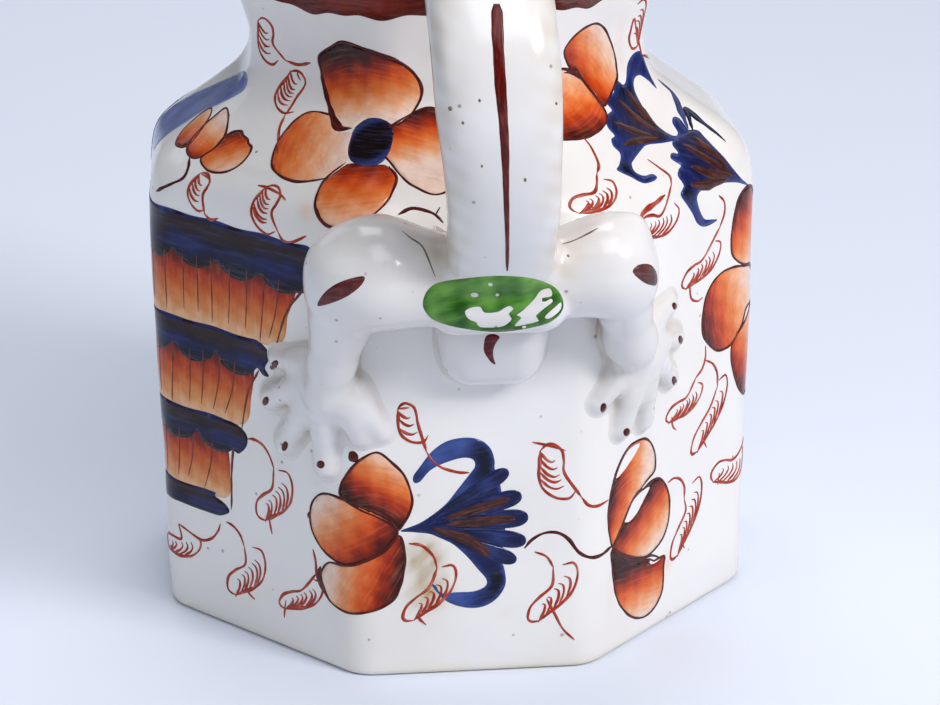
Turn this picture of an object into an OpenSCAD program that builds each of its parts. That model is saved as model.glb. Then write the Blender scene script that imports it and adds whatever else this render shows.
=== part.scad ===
// Porcelain cream jug, eight-sided, with an animal handle.
// Frame: +Z up, origin at the centre of the foot, handle at -Y, spout at +Y.
// All sizes in millimetres.

/* [Body] */
// half width across the two side faces
side_apothem = 42; // [30:0.5:60]
// half depth across the handle and spout faces
front_apothem = 40.1; // [30:0.5:60]
// half width across the diagonal faces
diagonal_apothem = 39.7; // [30:0.5:60]
// height of the shoulder edge
shoulder_height = 61; // [40:0.5:90]
// half width of the neck at its narrowest
neck_apothem = 27; // [15:0.5:40]
// height of the neck at its narrowest
neck_height = 79; // [60:0.5:120]
// half width of the rim at the sides
rim_apothem = 34.5; // [20:0.5:50]
// height of the rim at the sides
rim_height = 102; // [80:0.5:150]
// how far the spout reaches past the rim
spout_reach = 13; // [0:0.5:25]
// how far the spout rises above the rim
spout_rise = 6; // [0:0.5:15]
// thickness of the wall
wall = 3.6; // [2:0.1:6]

/* [Base] */
// thickness of the base slab
base_thickness = 5.2; // [2:0.1:8]

/* [Handle] */
// width of the strap at its foot
strap_width_low = 14; // [8:0.5:20]
// width of the strap at its top
strap_width_high = 15; // [8:0.5:20]
// thickness of the strap
strap_thickness = 9; // [6:0.5:14]
// sideways lean of the handle's foot
foot_shift = 2.4; // [0:0.1:5]
// how far the strap's centre line stands out at the middle
strap_reach = 62.5; // [50:0.5:80]
// height of the strap's crest
crest_height = 105; // [90:0.5:130]

/* [Hidden] */

porcelain = [0.90, 0.91, 0.92];
enamel_green = [0.25, 0.55, 0.22];
corner_steps = 3;
face_steps = 4;
ball_fn = 24;

// relative half widths of the eight faces, counted from the handle face
face_half = [front_apothem, diagonal_apothem, side_apothem, diagonal_apothem,
             front_apothem, diagonal_apothem, side_apothem, diagonal_apothem];

// ---- eight-sided rings with rounded corners ----

function face_angle(i) = -90 + 45 * i;
function face_dir(i) = [cos(face_angle(i)), sin(face_angle(i))];
function face_run(i) = [-sin(face_angle(i)), cos(face_angle(i))];
function half_at(i, s) = face_half[i % 8] * s / side_apothem;

// centre of the rounded corner between face i and face i + 1
function corner_at(i, s, r) =
    let (p = half_at(i, s) - r)
    let (q = half_at(i + 1, s) - r)
    p * face_dir(i) + (q - p * cos(45)) / sin(45) * face_run(i);

function corner_point(i, j, s, r) =
    corner_at(i, s, r)
    + r * [cos(face_angle(i) + 45 * j / corner_steps),
           sin(face_angle(i) + 45 * j / corner_steps)];

// the corner's arc, then the points along the next flat
function flat_ring(s, r) = [
    for (i = [0:7])
    for (j = [0:corner_steps + face_steps - 1])
    j <= corner_steps
    ? corner_point(i, j, s, r)
    : let (a = corner_point(i, corner_steps, s, r))
      let (b = corner_point(i + 1, 0, s, r))
      a + (b - a) * (j - corner_steps) / face_steps];

// pull is how far the spout side moves out, lift is how far it rises
function spout_share(p) = pow(max(0, p.y / norm(p)), 9);
function heel_share(p) = pow(max(0, -p.y / norm(p)), 6);
function shaped_ring(row) =
    let (s = row[0])
    let (z = row[1])
    let (r = row[2])
    let (pull = row[3])
    let (lift = row[4])
    [for (p = flat_ring(s, r))
        [p.x * (1 - 0.25 * pull / side_apothem * spout_share(p)),
         p.y + pull * spout_share(p),
         z + lift * spout_share(p) + 0.3 * lift * heel_share(p)]];

// rows are [half width, height, corner radius, spout pull, spout lift]
flare = rim_height - neck_height;
outer_rows = [
    [side_apothem * 0.975, 0, 6, 0, 0],
    [side_apothem * 0.988, 0.9, 6.5, 0, 0],
    [side_apothem * 0.991, shoulder_height * 0.3, 7, 0, 0],
    [side_apothem * 0.995, shoulder_height * 0.6, 7, 0, 0],
    [side_apothem, shoulder_height * 0.9, 8, 0, 0],
    [side_apothem * 0.999, shoulder_height, 11, 0, 0],
    [side_apothem * 0.992, shoulder_height + 2.2, 12, 0, 0],
    [side_apothem * 0.971, shoulder_height + 4.4, 13, 0.2, 0],
    [side_apothem * 0.925, shoulder_height + 6.4, 13, 0.4, 0],
    [side_apothem * 0.845, shoulder_height + 8.8, 12, 0.8, 0],
    [side_apothem * 0.755, shoulder_height + 11.6, 10, 1.3, 0],
    [neck_apothem * 1.055, neck_height - 3.6, 8, 2.0, 0],
    [neck_apothem * 1.008, neck_height - 1.2, 7, 2.8, 0],
    [neck_apothem, neck_height + 0.10 * flare, 7, 4.0, 0],
    [neck_apothem * 1.035, neck_height + 0.30 * flare, 7, 6.0, 0.4],
    [neck_apothem * 1.105, neck_height + 0.52 * flare, 7, 8.2, 1.6],
    [rim_apothem * 0.925, neck_height + 0.74 * flare, 7.5, spout_reach * 0.80, spout_rise * 0.55],
    [rim_apothem * 0.985, neck_height + 0.91 * flare, 8, spout_reach * 0.95, spout_rise * 0.85],
    [rim_apothem, neck_height + 0.97 * flare, 8, spout_reach, spout_rise * 0.96],
    [rim_apothem * 0.985, rim_height, 8, spout_reach, spout_rise]];

bore = side_apothem - wall - 0.5;
inner_rows = [
    [rim_apothem * 0.955, rim_height, 7.5, spout_reach - 0.6, spout_rise],
    [rim_apothem * 0.925, neck_height + 0.965 * flare, 7, spout_reach - 1.2, spout_rise * 0.95],
    [rim_apothem * 0.87, neck_height + 0.86 * flare, 6.5, spout_reach * 0.84, spout_rise * 0.78],
    [neck_apothem * 1.035, neck_height + 0.70 * flare, 5.5, spout_reach * 0.66, spout_rise * 0.5],
    [neck_apothem - wall + 1.2, neck_height + 0.50 * flare, 5, 6.4, 1.2],
    [neck_apothem - wall, neck_height + 0.28 * flare, 4.5, 4.6, 0.3],
    [neck_apothem - wall - 0.2, neck_height + 0.06 * flare, 4.5, 3.0, 0],
    [neck_apothem - wall + 0.6, neck_height - 3.2, 5, 1.8, 0],
    [neck_apothem, neck_height - 7.2, 7, 1.0, 0],
    [side_apothem * 0.745, shoulder_height + 6.6, 9, 0.5, 0],
    [side_apothem * 0.845, shoulder_height + 3.0, 9, 0.1, 0],
    [bore - 0.8, shoulder_height - 0.4, 8.5, 0, 0],
    [bore, shoulder_height - 3.6, 7, 0, 0],
    [bore, base_thickness, 4, 0, 0],
    [bore, 0, 4, 0, 0]];

ring_size = 8 * (corner_steps + face_steps);

// side walls between ring k and ring k + 1
function band(k, n) = [
    for (i = [0:ring_size - 1])
    let (a = k * ring_size + i)
    let (b = k * ring_size + (i + 1) % ring_size)
    let (c = ((k + 1) % n) * ring_size + (i + 1) % ring_size)
    let (d = ((k + 1) % n) * ring_size + i)
    each [[a, c, b], [a, d, c]]];

// a closed loop of rings: outer wall up, inner wall down
module ring_loop(rows) {
    count = len(rows);
    points = [for (row = rows) each shaped_ring(row)];
    faces = [for (k = [0:count - 1]) each band(k, count)];
    polyhedron(points = points, faces = faces, convexity = 8);
}

// a solid stack of rings with a flat lid at both ends
module ring_stack(rows) {
    count = len(rows);
    points = concat([for (row = rows) each shaped_ring(row)],
                    [[0, 0, rows[0][1]], [0, 0, rows[count - 1][1]]]);
    sides = [for (k = [0:count - 2]) each band(k, count + 1)];
    low = [for (i = [0:ring_size - 1]) [count * ring_size, i, (i + 1) % ring_size]];
    top = (count - 1) * ring_size;
    high = [for (i = [0:ring_size - 1]) [count * ring_size + 1, top + (i + 1) % ring_size, top + i]];
    polyhedron(points = points, faces = concat(sides, low, high), convexity = 6);
}

// the jug's outside up to the neck as a solid block, used to fit the applied pieces
module body_block() {
    ring_stack([for (k = [1:11]) outer_rows[k]]);
}

// the rim's wall alone, used to fit the head over it
module rim_wall() {
    ring_loop(concat([for (k = [14:len(outer_rows) - 1]) outer_rows[k]],
                     [for (k = [0:4]) inner_rows[k]]));
}

// ---- strap swept along its centre line ----

// rows are [x, y, z, width, thickness]
reach = strap_reach;
crest = crest_height;
strap_rows = [
    [foot_shift, -41.0, 57.5, strap_width_low + 1, strap_thickness],
    [foot_shift, -45.6, 59.0, strap_width_low + 1, strap_thickness],
    [foot_shift, -49.6, 62.2, strap_width_low, strap_thickness],
    [foot_shift * 0.95, reach * -0.855, 67.0, strap_width_low, strap_thickness],
    [foot_shift * 0.85, reach * -0.925, 72.5, strap_width_low + 0.2, strap_thickness],
    [foot_shift * 0.70, reach * -0.975, 78.5, strap_width_low + 0.5, strap_thickness],
    [foot_shift * 0.55, -reach, 85.0, strap_width_high, strap_thickness],
    [foot_shift * 0.42, reach * -0.985, 91.5, strap_width_high, strap_thickness],
    [foot_shift * 0.30, reach * -0.92, crest - 7.5, strap_width_high, strap_thickness],
    [foot_shift * 0.20, reach * -0.81, crest - 2.8, strap_width_high, strap_thickness],
    [foot_shift * 0.12, reach * -0.68, crest - 0.4, strap_width_high - 1, strap_thickness],
    [0, reach * -0.56, crest + 0.2, strap_width_high - 2, strap_thickness - 0.5],
    [0, reach * -0.50, crest + 0.2, strap_width_high - 2, strap_thickness - 0.5]];

section_fn = 20;
last = len(strap_rows) - 1;

function mid(k) = [strap_rows[k][0], strap_rows[k][1], strap_rows[k][2]];
function along(k) =
    let (v = mid(min(k + 1, last)) - mid(max(k - 1, 0)))
    v / norm(v);

// thickness direction stands square to the path and to the strap's width
function across(k) =
    let (v = cross([1, 0, 0], along(k)))
    v / norm(v);

function softened(v) = sign(v) * pow(abs(v), 0.72);

function strap_ring(k) = [
    for (i = [0:section_fn - 1])
    let (u = cos(360 * i / section_fn))
    let (v = sin(360 * i / section_fn))
    mid(k)
    + [strap_rows[k][3] / 2 * softened(u), 0, 0]
    + strap_rows[k][4] / 2 * softened(v) * across(k)];

module strap_sweep() {
    points = concat([for (k = [0:last]) each strap_ring(k)], [mid(0), mid(last)]);
    sides = [for (k = [0:last - 1]) for (i = [0:section_fn - 1])
        let (a = k * section_fn + i)
        let (b = k * section_fn + (i + 1) % section_fn)
        let (c = b + section_fn)
        let (d = a + section_fn)
        each [[a, b, c], [a, c, d]]];
    first_cap = (last + 1) * section_fn;
    low = [for (i = [0:section_fn - 1]) [first_cap, (i + 1) % section_fn, i]];
    high = [for (i = [0:section_fn - 1])
        [first_cap + 1, last * section_fn + i, last * section_fn + (i + 1) % section_fn]];
    polyhedron(points = points, faces = concat(sides, low, high), convexity = 6);
}

// ---- rounded clay forms ----

module ball(p, r) {
    translate(p) sphere(r = r, $fn = ball_fn);
}

module limb(p, rp, q, rq) {
    hull() {
        ball(p, rp);
        ball(q, rq);
    }
}

// oval boss where the strap meets the body
module rump_form() {
    hull() {
        ball([foot_shift - 5.0, -49.9, 56.6], 3.4);
        ball([foot_shift + 5.0, -49.9, 56.6], 3.4);
        ball([foot_shift - 4.2, -41.0, 56.4], 3.6);
        ball([foot_shift + 4.2, -41.0, 56.4], 3.6);
    }
}

// short rounded stub below the boss
module tail_form() {
    hull() {
        ball([foot_shift - 2.9, -43.2, 51.5], 4.0);
        ball([foot_shift + 2.9, -43.2, 51.5], 4.0);
        ball([foot_shift - 2.6, -41.2, 46.6], 3.6);
        ball([foot_shift + 2.6, -41.2, 46.6], 3.6);
    }
}

// thigh, shin and six splayed toes lying on the wall
module left_form() {
    hull() {
        ball([-2.4, -46.8, 58.8], 5.6);
        ball([-14.4, -47.4, 61.2], 7.2);
        ball([-15.0, -41.5, 60.4], 4.4);
        ball([-4.0, -41.5, 58.2], 3.6);
    }
    limb([-15.8, -46.6, 58.4], 5.6, [-18.2, -41.6, 47.0], 3.2);
    limb([-18.2, -41.6, 47.0], 3.2, [-19.2, -39.4, 41.6], 3.0);
    limb([-20.6, -37.6, 44.4], 2.2, [-26.0, -31.0, 43.6], 1.7);
    limb([-20.8, -37.0, 42.0], 2.2, [-27.2, -29.6, 37.0], 1.7);
    limb([-20.2, -37.4, 40.6], 2.2, [-25.1, -31.8, 31.2], 1.7);
    limb([-19.2, -38.4, 40.0], 2.2, [-19.7, -37.0, 29.8], 1.7);
    limb([-17.4, -39.8, 40.2], 2.2, [-15.5, -40.2, 33.8], 1.7);
    limb([-16.6, -40.4, 41.4], 2.2, [-12.6, -40.6, 36.0], 1.6);
}

module right_form() {
    hull() {
        ball([7.4, -46.8, 59.0], 5.4);
        ball([17.4, -47.0, 61.2], 6.0);
        ball([18.6, -46.2, 66.0], 2.4);
        ball([16.8, -41.2, 60.2], 4.2);
        ball([8.0, -41.4, 58.2], 3.6);
    }
    limb([18.2, -46.2, 58.4], 4.8, [20.4, -39.4, 47.6], 3.1);
    limb([20.4, -39.4, 47.6], 3.1, [22.0, -35.6, 43.4], 2.9);
    limb([22.6, -35.2, 46.4], 2.2, [28.0, -29.0, 48.8], 1.7);
    limb([23.4, -34.4, 44.6], 2.2, [29.3, -27.7, 43.0], 1.7);
    limb([23.4, -34.2, 42.8], 2.2, [28.2, -28.8, 37.0], 1.7);
    limb([22.8, -34.8, 41.4], 2.2, [23.9, -33.0, 32.8], 1.7);
    limb([21.4, -36.2, 41.4], 2.2, [20.2, -36.8, 32.8], 1.7);
    limb([20.2, -37.4, 43.0], 2.2, [16.6, -39.9, 38.0], 1.6);
}

// plain animal head lying over the rim with its chin inside
module head_form() {
    hull() {
        ball([0, -36.4, 105.2], 6.2);
        ball([-3.2, -31.8, 105.0], 4.6);
        ball([3.2, -31.8, 105.0], 4.6);
        ball([0, -24.2, 103.6], 3.6);
    }
    ball([-4.2, -33.2, 108.8], 2.3);
    ball([4.2, -33.2, 108.8], 2.3);
}

// ---- the separate pieces ----

module body_wall() {
    color(porcelain) ring_loop(concat(outer_rows, inner_rows));
}

module base_slab() {
    color(porcelain)
    ring_stack([[bore, 0, 4, 0, 0],
                [bore, base_thickness, 4, 0, 0]]);
}

module handle_strap() {
    color(porcelain)
    difference() {
        strap_sweep();
        body_block();
        rump_form();
        head_form();
        rim_wall();
    }
}

module rump_pad() {
    color(enamel_green)
    difference() {
        rump_form();
        body_block();
    }
}

module tail_stub() {
    color(porcelain)
    difference() {
        tail_form();
        body_block();
        rump_form();
    }
}

module left_leg() {
    color(porcelain)
    difference() {
        left_form();
        body_block();
        rump_form();
        strap_sweep();
    }
}

module right_leg() {
    color(porcelain)
    difference() {
        right_form();
        body_block();
        rump_form();
        strap_sweep();
    }
}

module head_terminal() {
    color(porcelain)
    difference() {
        head_form();
        rim_wall();
    }
}

body_wall();
base_slab();
handle_strap();
head_terminal();
rump_pad();
tail_stub();
left_leg();
right_leg();
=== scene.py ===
# Porcelain cream jug with an animal handle: the looks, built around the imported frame.
# Shapes are worked out in millimetres and written into the meshes in metres.
import math
import bpy
import numpy as np
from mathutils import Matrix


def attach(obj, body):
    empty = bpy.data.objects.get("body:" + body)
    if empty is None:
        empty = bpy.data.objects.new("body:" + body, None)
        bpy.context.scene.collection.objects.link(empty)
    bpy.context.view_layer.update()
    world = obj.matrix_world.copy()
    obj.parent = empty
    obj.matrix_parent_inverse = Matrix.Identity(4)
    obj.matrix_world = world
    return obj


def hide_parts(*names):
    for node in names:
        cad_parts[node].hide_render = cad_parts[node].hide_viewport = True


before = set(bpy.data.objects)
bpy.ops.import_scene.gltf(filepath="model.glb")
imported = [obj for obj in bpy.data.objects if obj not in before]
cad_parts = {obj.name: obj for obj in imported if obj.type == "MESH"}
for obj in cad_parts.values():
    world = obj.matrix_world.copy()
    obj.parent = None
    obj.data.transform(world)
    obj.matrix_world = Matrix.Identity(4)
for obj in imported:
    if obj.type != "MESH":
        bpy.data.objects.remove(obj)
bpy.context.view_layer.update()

import openvdb
from mathutils import Matrix, Vector
from mathutils.geometry import delaunay_2d_cdt

MM = 0.001
rng = np.random.default_rng(7)

# ---------------------------------------------------------------- body surface
# Half widths across the eight faces, counted from the handle face anticlockwise seen from above.
FACE_HALF = np.array([40.1, 39.7, 42.0, 39.7, 40.1, 39.7, 42.0, 39.7])
SIDE = 42.0

# rows: half width of the side faces, height, corner radius, spout pull, spout lift
OUTER = [(37.9, 0.0, 5.0, 0, 0), (40.3, 0.0, 5.6, 0, 0), (41.1, 0.25, 5.8, 0, 0), (41.45, 0.9, 6.2, 0, 0),
    (41.55, 4, 6.8, 0, 0), (41.62, 18.3, 7.0, 0, 0), (41.79, 36.6, 7.0, 0, 0), (42.0, 54.9, 8.0, 0, 0),
    (41.98, 60.0, 10.5, 0, 0), (41.8, 62.0, 11.5, 0, 0), (41.45, 63.7, 12.2, 0, 0), (40.75, 65.4, 13, 0.2,
    0), (38.85, 67.4, 13, 0.4, 0), (35.5, 69.8, 12, 0.8, 0), (31.7, 72.6, 10, 1.3, 0), (28.5, 75.4, 8,
    2.0, 0), (27.25, 77.8, 7, 2.8, 0), (27.0, 81.3, 7, 4.0, 0), (27.95, 85.9, 7, 6.0, 0.4), (29.85, 91.0,
    7, 8.2, 1.6), (31.95, 96.0, 7.5, 10.4, 3.3), (33.9, 99.9, 8, 12.4, 5.1), (34.45, 101.3, 8, 13.0,
    5.75), (34.3, 101.9, 8, 13.0, 6.0), (33.75, 102.15, 8, 12.9, 6.0)]
INNER = [(33.75, 102.15, 8, 12.9, 6.0), (33.1, 102.0, 7.6, 12.5, 6.0), (32.3, 101.2, 7.2, 12.0, 5.7),
    (30.0, 98.8, 6.5, 10.9, 4.7), (27.95, 95.1, 5.5, 8.6, 3.0), (24.6, 90.5, 5, 6.4, 1.2), (23.4, 85.4,
    4.5, 4.6, 0.3), (23.2, 80.4, 4.5, 3.0, 0), (24.0, 75.8, 5, 1.8, 0), (27.0, 71.8, 7, 1.0, 0),
    (31.3, 67.6, 9, 0.5, 0), (35.5, 64.0, 9, 0.1, 0), (37.1, 60.6, 8.5, 0, 0), (37.9, 57.4, 7, 0, 0),
    (37.9, 30.0, 6, 0, 0), (37.6, 9.0, 5, 0, 0), (36.4, 6.4, 4.5, 0, 0), (34.4, 5.6, 4, 0, 0)]


def pchip(x, y, xs):
    """Monotone cubic through (x, y), sampled at xs."""
    x, y = np.asarray(x, float), np.asarray(y, float)
    h, d = np.diff(x), np.diff(y) / np.diff(x)
    m = np.zeros_like(y)
    both = d[1:] * d[:-1] > 0
    w1, w2 = 2 * h[1:] + h[:-1], h[1:] + 2 * h[:-1]
    with np.errstate(divide="ignore", invalid="ignore"):
        m[1:-1] = np.where(both, (w1 + w2) / (w1 / d[:-1] + w2 / d[1:]), 0)
    m[0], m[-1] = d[0], d[-1]
    k = np.clip(np.searchsorted(x, xs) - 1, 0, len(x) - 2)
    t = (xs - x[k]) / h[k]
    a, b = (1 + 2 * t) * (1 - t) ** 2, t * (1 - t) ** 2
    c, e = t * t * (3 - 2 * t), t * t * (t - 1)
    return a * y[k] + b * h[k] * m[k] + c * y[k + 1] + e * h[k] * m[k + 1]


class Shell:
    """A stack of rounded octagons: a counts round the faces, w is the way up the profile in mm."""

    def __init__(self, rows):
        self.rows = np.array(rows, float)
        step = np.hypot(np.diff(self.rows[:, 0]), np.diff(self.rows[:, 1]))
        self.w = np.concatenate([[0], np.cumsum(step)])

    def at(self, w):
        w = np.clip(w, 0, self.w[-1])
        return [pchip(self.w, self.rows[:, k], w) for k in range(5)]

    def side(self, face, w):
        """Lengths of the flat, the arc and the next flat from one face's centre to the next one's."""
        half, _, r, _, _ = self.at(w)
        p = FACE_HALF[face % 8] * half / SIDE - r
        q = FACE_HALF[(face + 1) % 8] * half / SIDE - r
        c45 = math.sqrt(0.5)
        e1, e2 = (q - p * c45) / c45, (p - q * c45) / c45
        return e1, r * math.pi / 4, e2, p, r

    def ring(self, a, w):
        a, w = np.broadcast_arrays(np.asarray(a, float), np.asarray(w, float))
        face = np.floor(a).astype(int)
        t = a - face
        _, z, r, pull, lift = self.at(w)
        e1, arc, e2, p, _ = self.side(face, w)
        d = t * (e1 + arc + e2)
        base = np.radians(-90 + 45 * face)
        nx, ny = np.cos(base), np.sin(base)
        tx, ty = -ny, nx
        cx, cy = p * nx + e1 * tx, p * ny + e1 * ty
        turn = np.clip((d - e1) / r, 0, math.pi / 4)
        ax, ay = np.cos(base + turn), np.sin(base + turn)
        x, y = cx + r * ax, cy + r * ay
        before = np.minimum(d - e1, 0)
        after = np.maximum(d - e1 - arc, 0)
        nbx, nby = np.cos(base + math.pi / 4), np.sin(base + math.pi / 4)
        x = x + before * tx - after * nby
        y = y + before * ty + after * nbx
        rad = np.hypot(x, y)
        share = np.maximum(0, y / rad) ** 9
        heel = np.maximum(0, -y / rad) ** 6
        x = x * (1 - 0.25 * pull / SIDE * share)
        y = y + pull * share
        z = z + lift * share + 0.3 * lift * heel
        return np.stack([x, y, z], -1), np.stack([ax, ay], -1)


outer = Shell(OUTER)
inner = Shell(INNER)


CLAY_UNEVENNESS = 0.16


def unevenness(p):
    """Slow unevenness of hand-pressed clay, in mm along the outward direction."""
    x, y, z = p[..., 0], p[..., 1], p[..., 2]
    s = (np.sin(0.083 * x + 0.121 * z + 1.3) * np.sin(0.097 * y - 0.071 * z + 0.4)
         + 0.6 * np.sin(0.19 * x - 0.11 * y + 0.163 * z + 2.1) * np.sin(0.143 * z + 0.17 * y)
         + 0.25 * np.sin(0.41 * x + 0.37 * z) * np.sin(0.39 * y - 0.33 * z + 1.0))
    return CLAY_UNEVENNESS * s * np.clip(z / 6, 0, 1)


def body_point(a, w, shell=outer):
    p, n = shell.ring(a, w)
    bump = unevenness(p)
    p = p.copy()
    p[..., 0] += n[..., 0] * bump
    p[..., 1] += n[..., 1] * bump
    return p


def body_frame(a, w):
    """Point, outward normal on the outside of the body."""
    p = body_point(a, w)
    da = body_point(a + 0.004, w) - body_point(a - 0.004, w)
    dw = body_point(a, w + 0.05) - body_point(a, w - 0.05)
    n = np.cross(da, dw)
    n /= np.linalg.norm(n, axis=-1, keepdims=True) + 1e-12
    return p, n


W0 = outer.w[2]  # chart height 0 is the lower edge of the wall


def chart(face, u, v):
    """Chart of a face: u mm along the surface from the face's centre line, v mm up the profile."""
    u, v = np.broadcast_arrays(np.asarray(u, float), np.asarray(v, float))
    w = v + W0
    a = np.full(u.shape, float(face))
    right, rest = u >= 0, np.abs(u)
    f = np.where(right, face, face - 1)
    for _ in range(3):
        e1, arc, e2, _, _ = outer.side(f, w)
        span = e1 + arc + e2
        use = np.minimum(rest, span)
        a = a + np.where(right, 1, -1) * use / span
        rest = rest - use
        f = f + np.where(right, 1, -1)
    return a, w


# ---------------------------------------------------------------- mesh helpers
def make_mesh(name, verts, faces, mat, colors=None, normals=None,
        flat_from=None):
    mesh = bpy.data.meshes.new(name)
    verts = np.asarray(verts, float) * MM
    mesh.from_pydata(verts.tolist(), [], faces if isinstance(faces, list) else faces.tolist())
    mesh.update()
    mesh.polygons.foreach_set("use_smooth", np.ones(len(mesh.polygons), bool))
    if colors is not None:
        layer = mesh.color_attributes.new("paint", "FLOAT_COLOR", "POINT")
        layer.data.foreach_set("color", np.asarray(colors, np.float32).ravel())
    if normals is not None:
        corner = np.empty(len(mesh.loops), int)
        mesh.loops.foreach_get("vertex_index", corner)
        each = np.asarray(normals)[corner]
        for poly in mesh.polygons[flat_from:] if flat_from else ():
            each[poly.loop_start:poly.loop_start + poly.loop_total] = poly.normal
        mesh.normals_split_custom_set(each.tolist())
    obj = bpy.data.objects.new(name, mesh)
    bpy.context.scene.collection.objects.link(obj)
    mesh.materials.append(mat)
    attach(obj, "root")
    return obj


def grid_faces(rows, cols, wrap):
    i = np.arange(rows - 1)[:, None]
    j = np.arange(cols if wrap else cols - 1)[None, :]
    a = i * cols + j
    b = i * cols + (j + 1) % cols
    return np.stack([a, b, b + cols, a + cols], -1).reshape(-1, 4)


# ---------------------------------------------------------------- materials
def srgb(*c):
    c = np.asarray(c, float) / 255
    return np.where(c <= 0.04045, c / 12.92, ((c + 0.055) / 1.055) ** 2.4)


def node(nt, kind, **inputs):
    n = nt.nodes.new(kind)
    for k, v in inputs.items():
        n.inputs[k.replace("_", " ")].default_value = v
    return n


def ramp_node(nt, fac, stops):
    n = nt.nodes.new("ShaderNodeValToRGB")
    e = n.color_ramp.elements
    e[0].position, e[0].color = stops[0][0], (*stops[0][1], 1)
    e[1].position, e[1].color = stops[-1][0], (*stops[-1][1], 1)
    for pos, col in stops[1:-1]:
        e.new(pos).color = (*col, 1)
    nt.links.new(fac, n.inputs["Fac"])
    return n


def mix_node(nt, kind, fac, a, b):
    n = nt.nodes.new("ShaderNodeMix")
    n.data_type, n.blend_type = "RGBA", kind
    for value, socket in ((fac, 0), (a, 6), (b, 7)):
        if isinstance(value, bpy.types.NodeSocket):
            nt.links.new(value, n.inputs[socket])
        else:
            n.inputs[socket].default_value = value
    return n.outputs[2]


def new_material(name, roughness):
    mat = bpy.data.materials.new(name)
    mat.use_nodes = True
    nt = mat.node_tree
    nt.nodes.clear()
    out = nt.nodes.new("ShaderNodeOutputMaterial")
    sh = nt.nodes.new("ShaderNodeBsdfPrincipled")
    nt.links.new(sh.outputs[0], out.inputs[0])
    sh.inputs["Roughness"].default_value = roughness
    sh.inputs["IOR"].default_value = 1.5
    return mat, nt, sh


def object_noise(nt, coords, scale, detail=2.0, roughness=0.5):
    n = node(nt, "ShaderNodeTexNoise", Scale=scale, Detail=detail, Roughness=roughness)
    nt.links.new(coords, n.inputs["Vector"])
    return n.outputs["Fac"]


def bumped(nt, sh, layers):
    """Chain of bumps: (height socket, strength, depth in mm)."""
    last = None
    for height, strength, depth in layers:
        b = node(nt, "ShaderNodeBump", Strength=strength, Distance=depth * MM)
        nt.links.new(height, b.inputs["Height"])
        if last:
            nt.links.new(last, b.inputs["Normal"])
        last = b.outputs["Normal"]
    nt.links.new(last, sh.inputs["Normal"])


def porcelain_material(name, tinted=True):
    """White glaze: faint clouds of tone, iron specks, pinholes and a slightly rippled skin."""
    mat, nt, sh = new_material(name, 0.17)
    at = nt.nodes.new("ShaderNodeTexCoord").outputs["Object"]
    cloud = object_noise(nt, at, 42.0, 3.0, 0.55)
    colour = ramp_node(nt, cloud, [(0.32, (0.785, 0.765, 0.735)), (0.5, (0.815, 0.80, 0.785)),
        (0.68, (0.835, 0.83, 0.825))]).outputs["Color"]
    for scale, share, size, tone in ((560.0, 0.90, 0.11, (0.24, 0.19, 0.13, 1)), (240.0, 0.84, 0.055,
            (0.32, 0.25, 0.17, 1))):
        spots = node(nt, "ShaderNodeTexVoronoi", Scale=scale)
        nt.links.new(at, spots.inputs["Vector"])
        split = nt.nodes.new("ShaderNodeSeparateColor")
        nt.links.new(spots.outputs["Color"], split.inputs[0])
        chosen = ramp_node(nt, split.outputs[0], [(share, (0, 0, 0)), (share + 0.01,
            (1, 1, 1))]).outputs["Color"]
        dot = ramp_node(nt, spots.outputs["Distance"], [(size * 0.6, (0.8, 0.8, 0.8)), (size * 1.6,
            (0, 0, 0))]).outputs["Color"]
        both = mix_node(nt, "MULTIPLY", 1.0, chosen, dot)
        colour = mix_node(nt, "MIX", both, colour, tone)
    if tinted:
        tint = nt.nodes.new("ShaderNodeAttribute")
        tint.attribute_name = "paint"
        colour = mix_node(nt, "MULTIPLY", 1.0, colour, tint.outputs["Color"])
    nt.links.new(colour, sh.inputs["Base Color"])
    bumped(nt, sh, [(object_noise(nt, at, 110.0, 1.0), 0.3, 0.05), (object_noise(nt, at, 800.0, 2.0),
        0.12, 0.02)])
    return mat


def enamel_material(name, roughness, thin, streak, depth, deep=0.7):
    """Fired enamel: painted colour that thins out to `thin` along the brush marks."""
    mat, nt, sh = new_material(name, roughness)
    sh.inputs["Specular IOR Level"].default_value = 0.22
    paint, brush = nt.nodes.new("ShaderNodeAttribute"), nt.nodes.new("ShaderNodeAttribute")
    paint.attribute_name, brush.attribute_name = "paint", "brush"
    marks = object_noise(nt, brush.outputs["Vector"], 1.0, 3.0, 0.6)
    pools = object_noise(nt, nt.nodes.new("ShaderNodeTexCoord").outputs["Object"], 700.0, 2.0, 0.6)
    full = mix_node(nt, "MULTIPLY", 1.0, paint.outputs["Color"], ramp_node(nt, marks,
        [(0.30, (deep, deep * 0.96, deep * 0.96)), (0.52, (1.0, 1.0, 1.0))]).outputs["Color"])
    gone = ramp_node(nt, marks, [(0.50, (0, 0, 0)), (0.78, (streak,) * 3)]).outputs["Color"]
    colour = mix_node(nt, "MIX", gone, full, (*thin, 1))
    colour = mix_node(nt, "MULTIPLY", 1.0, colour, ramp_node(nt, pools, [(0.35, (0.90, 0.89, 0.89)),
        (0.6, (1.0, 1.0, 1.0))]).outputs["Color"])
    nt.links.new(colour, sh.inputs["Base Color"])
    bumped(nt, sh, [(marks, 0.25, depth), (pools, 0.15, 0.02)])
    return mat


glaze = porcelain_material("glaze_white")
glaze_foot = porcelain_material("glaze_foot", tinted=False)


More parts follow.
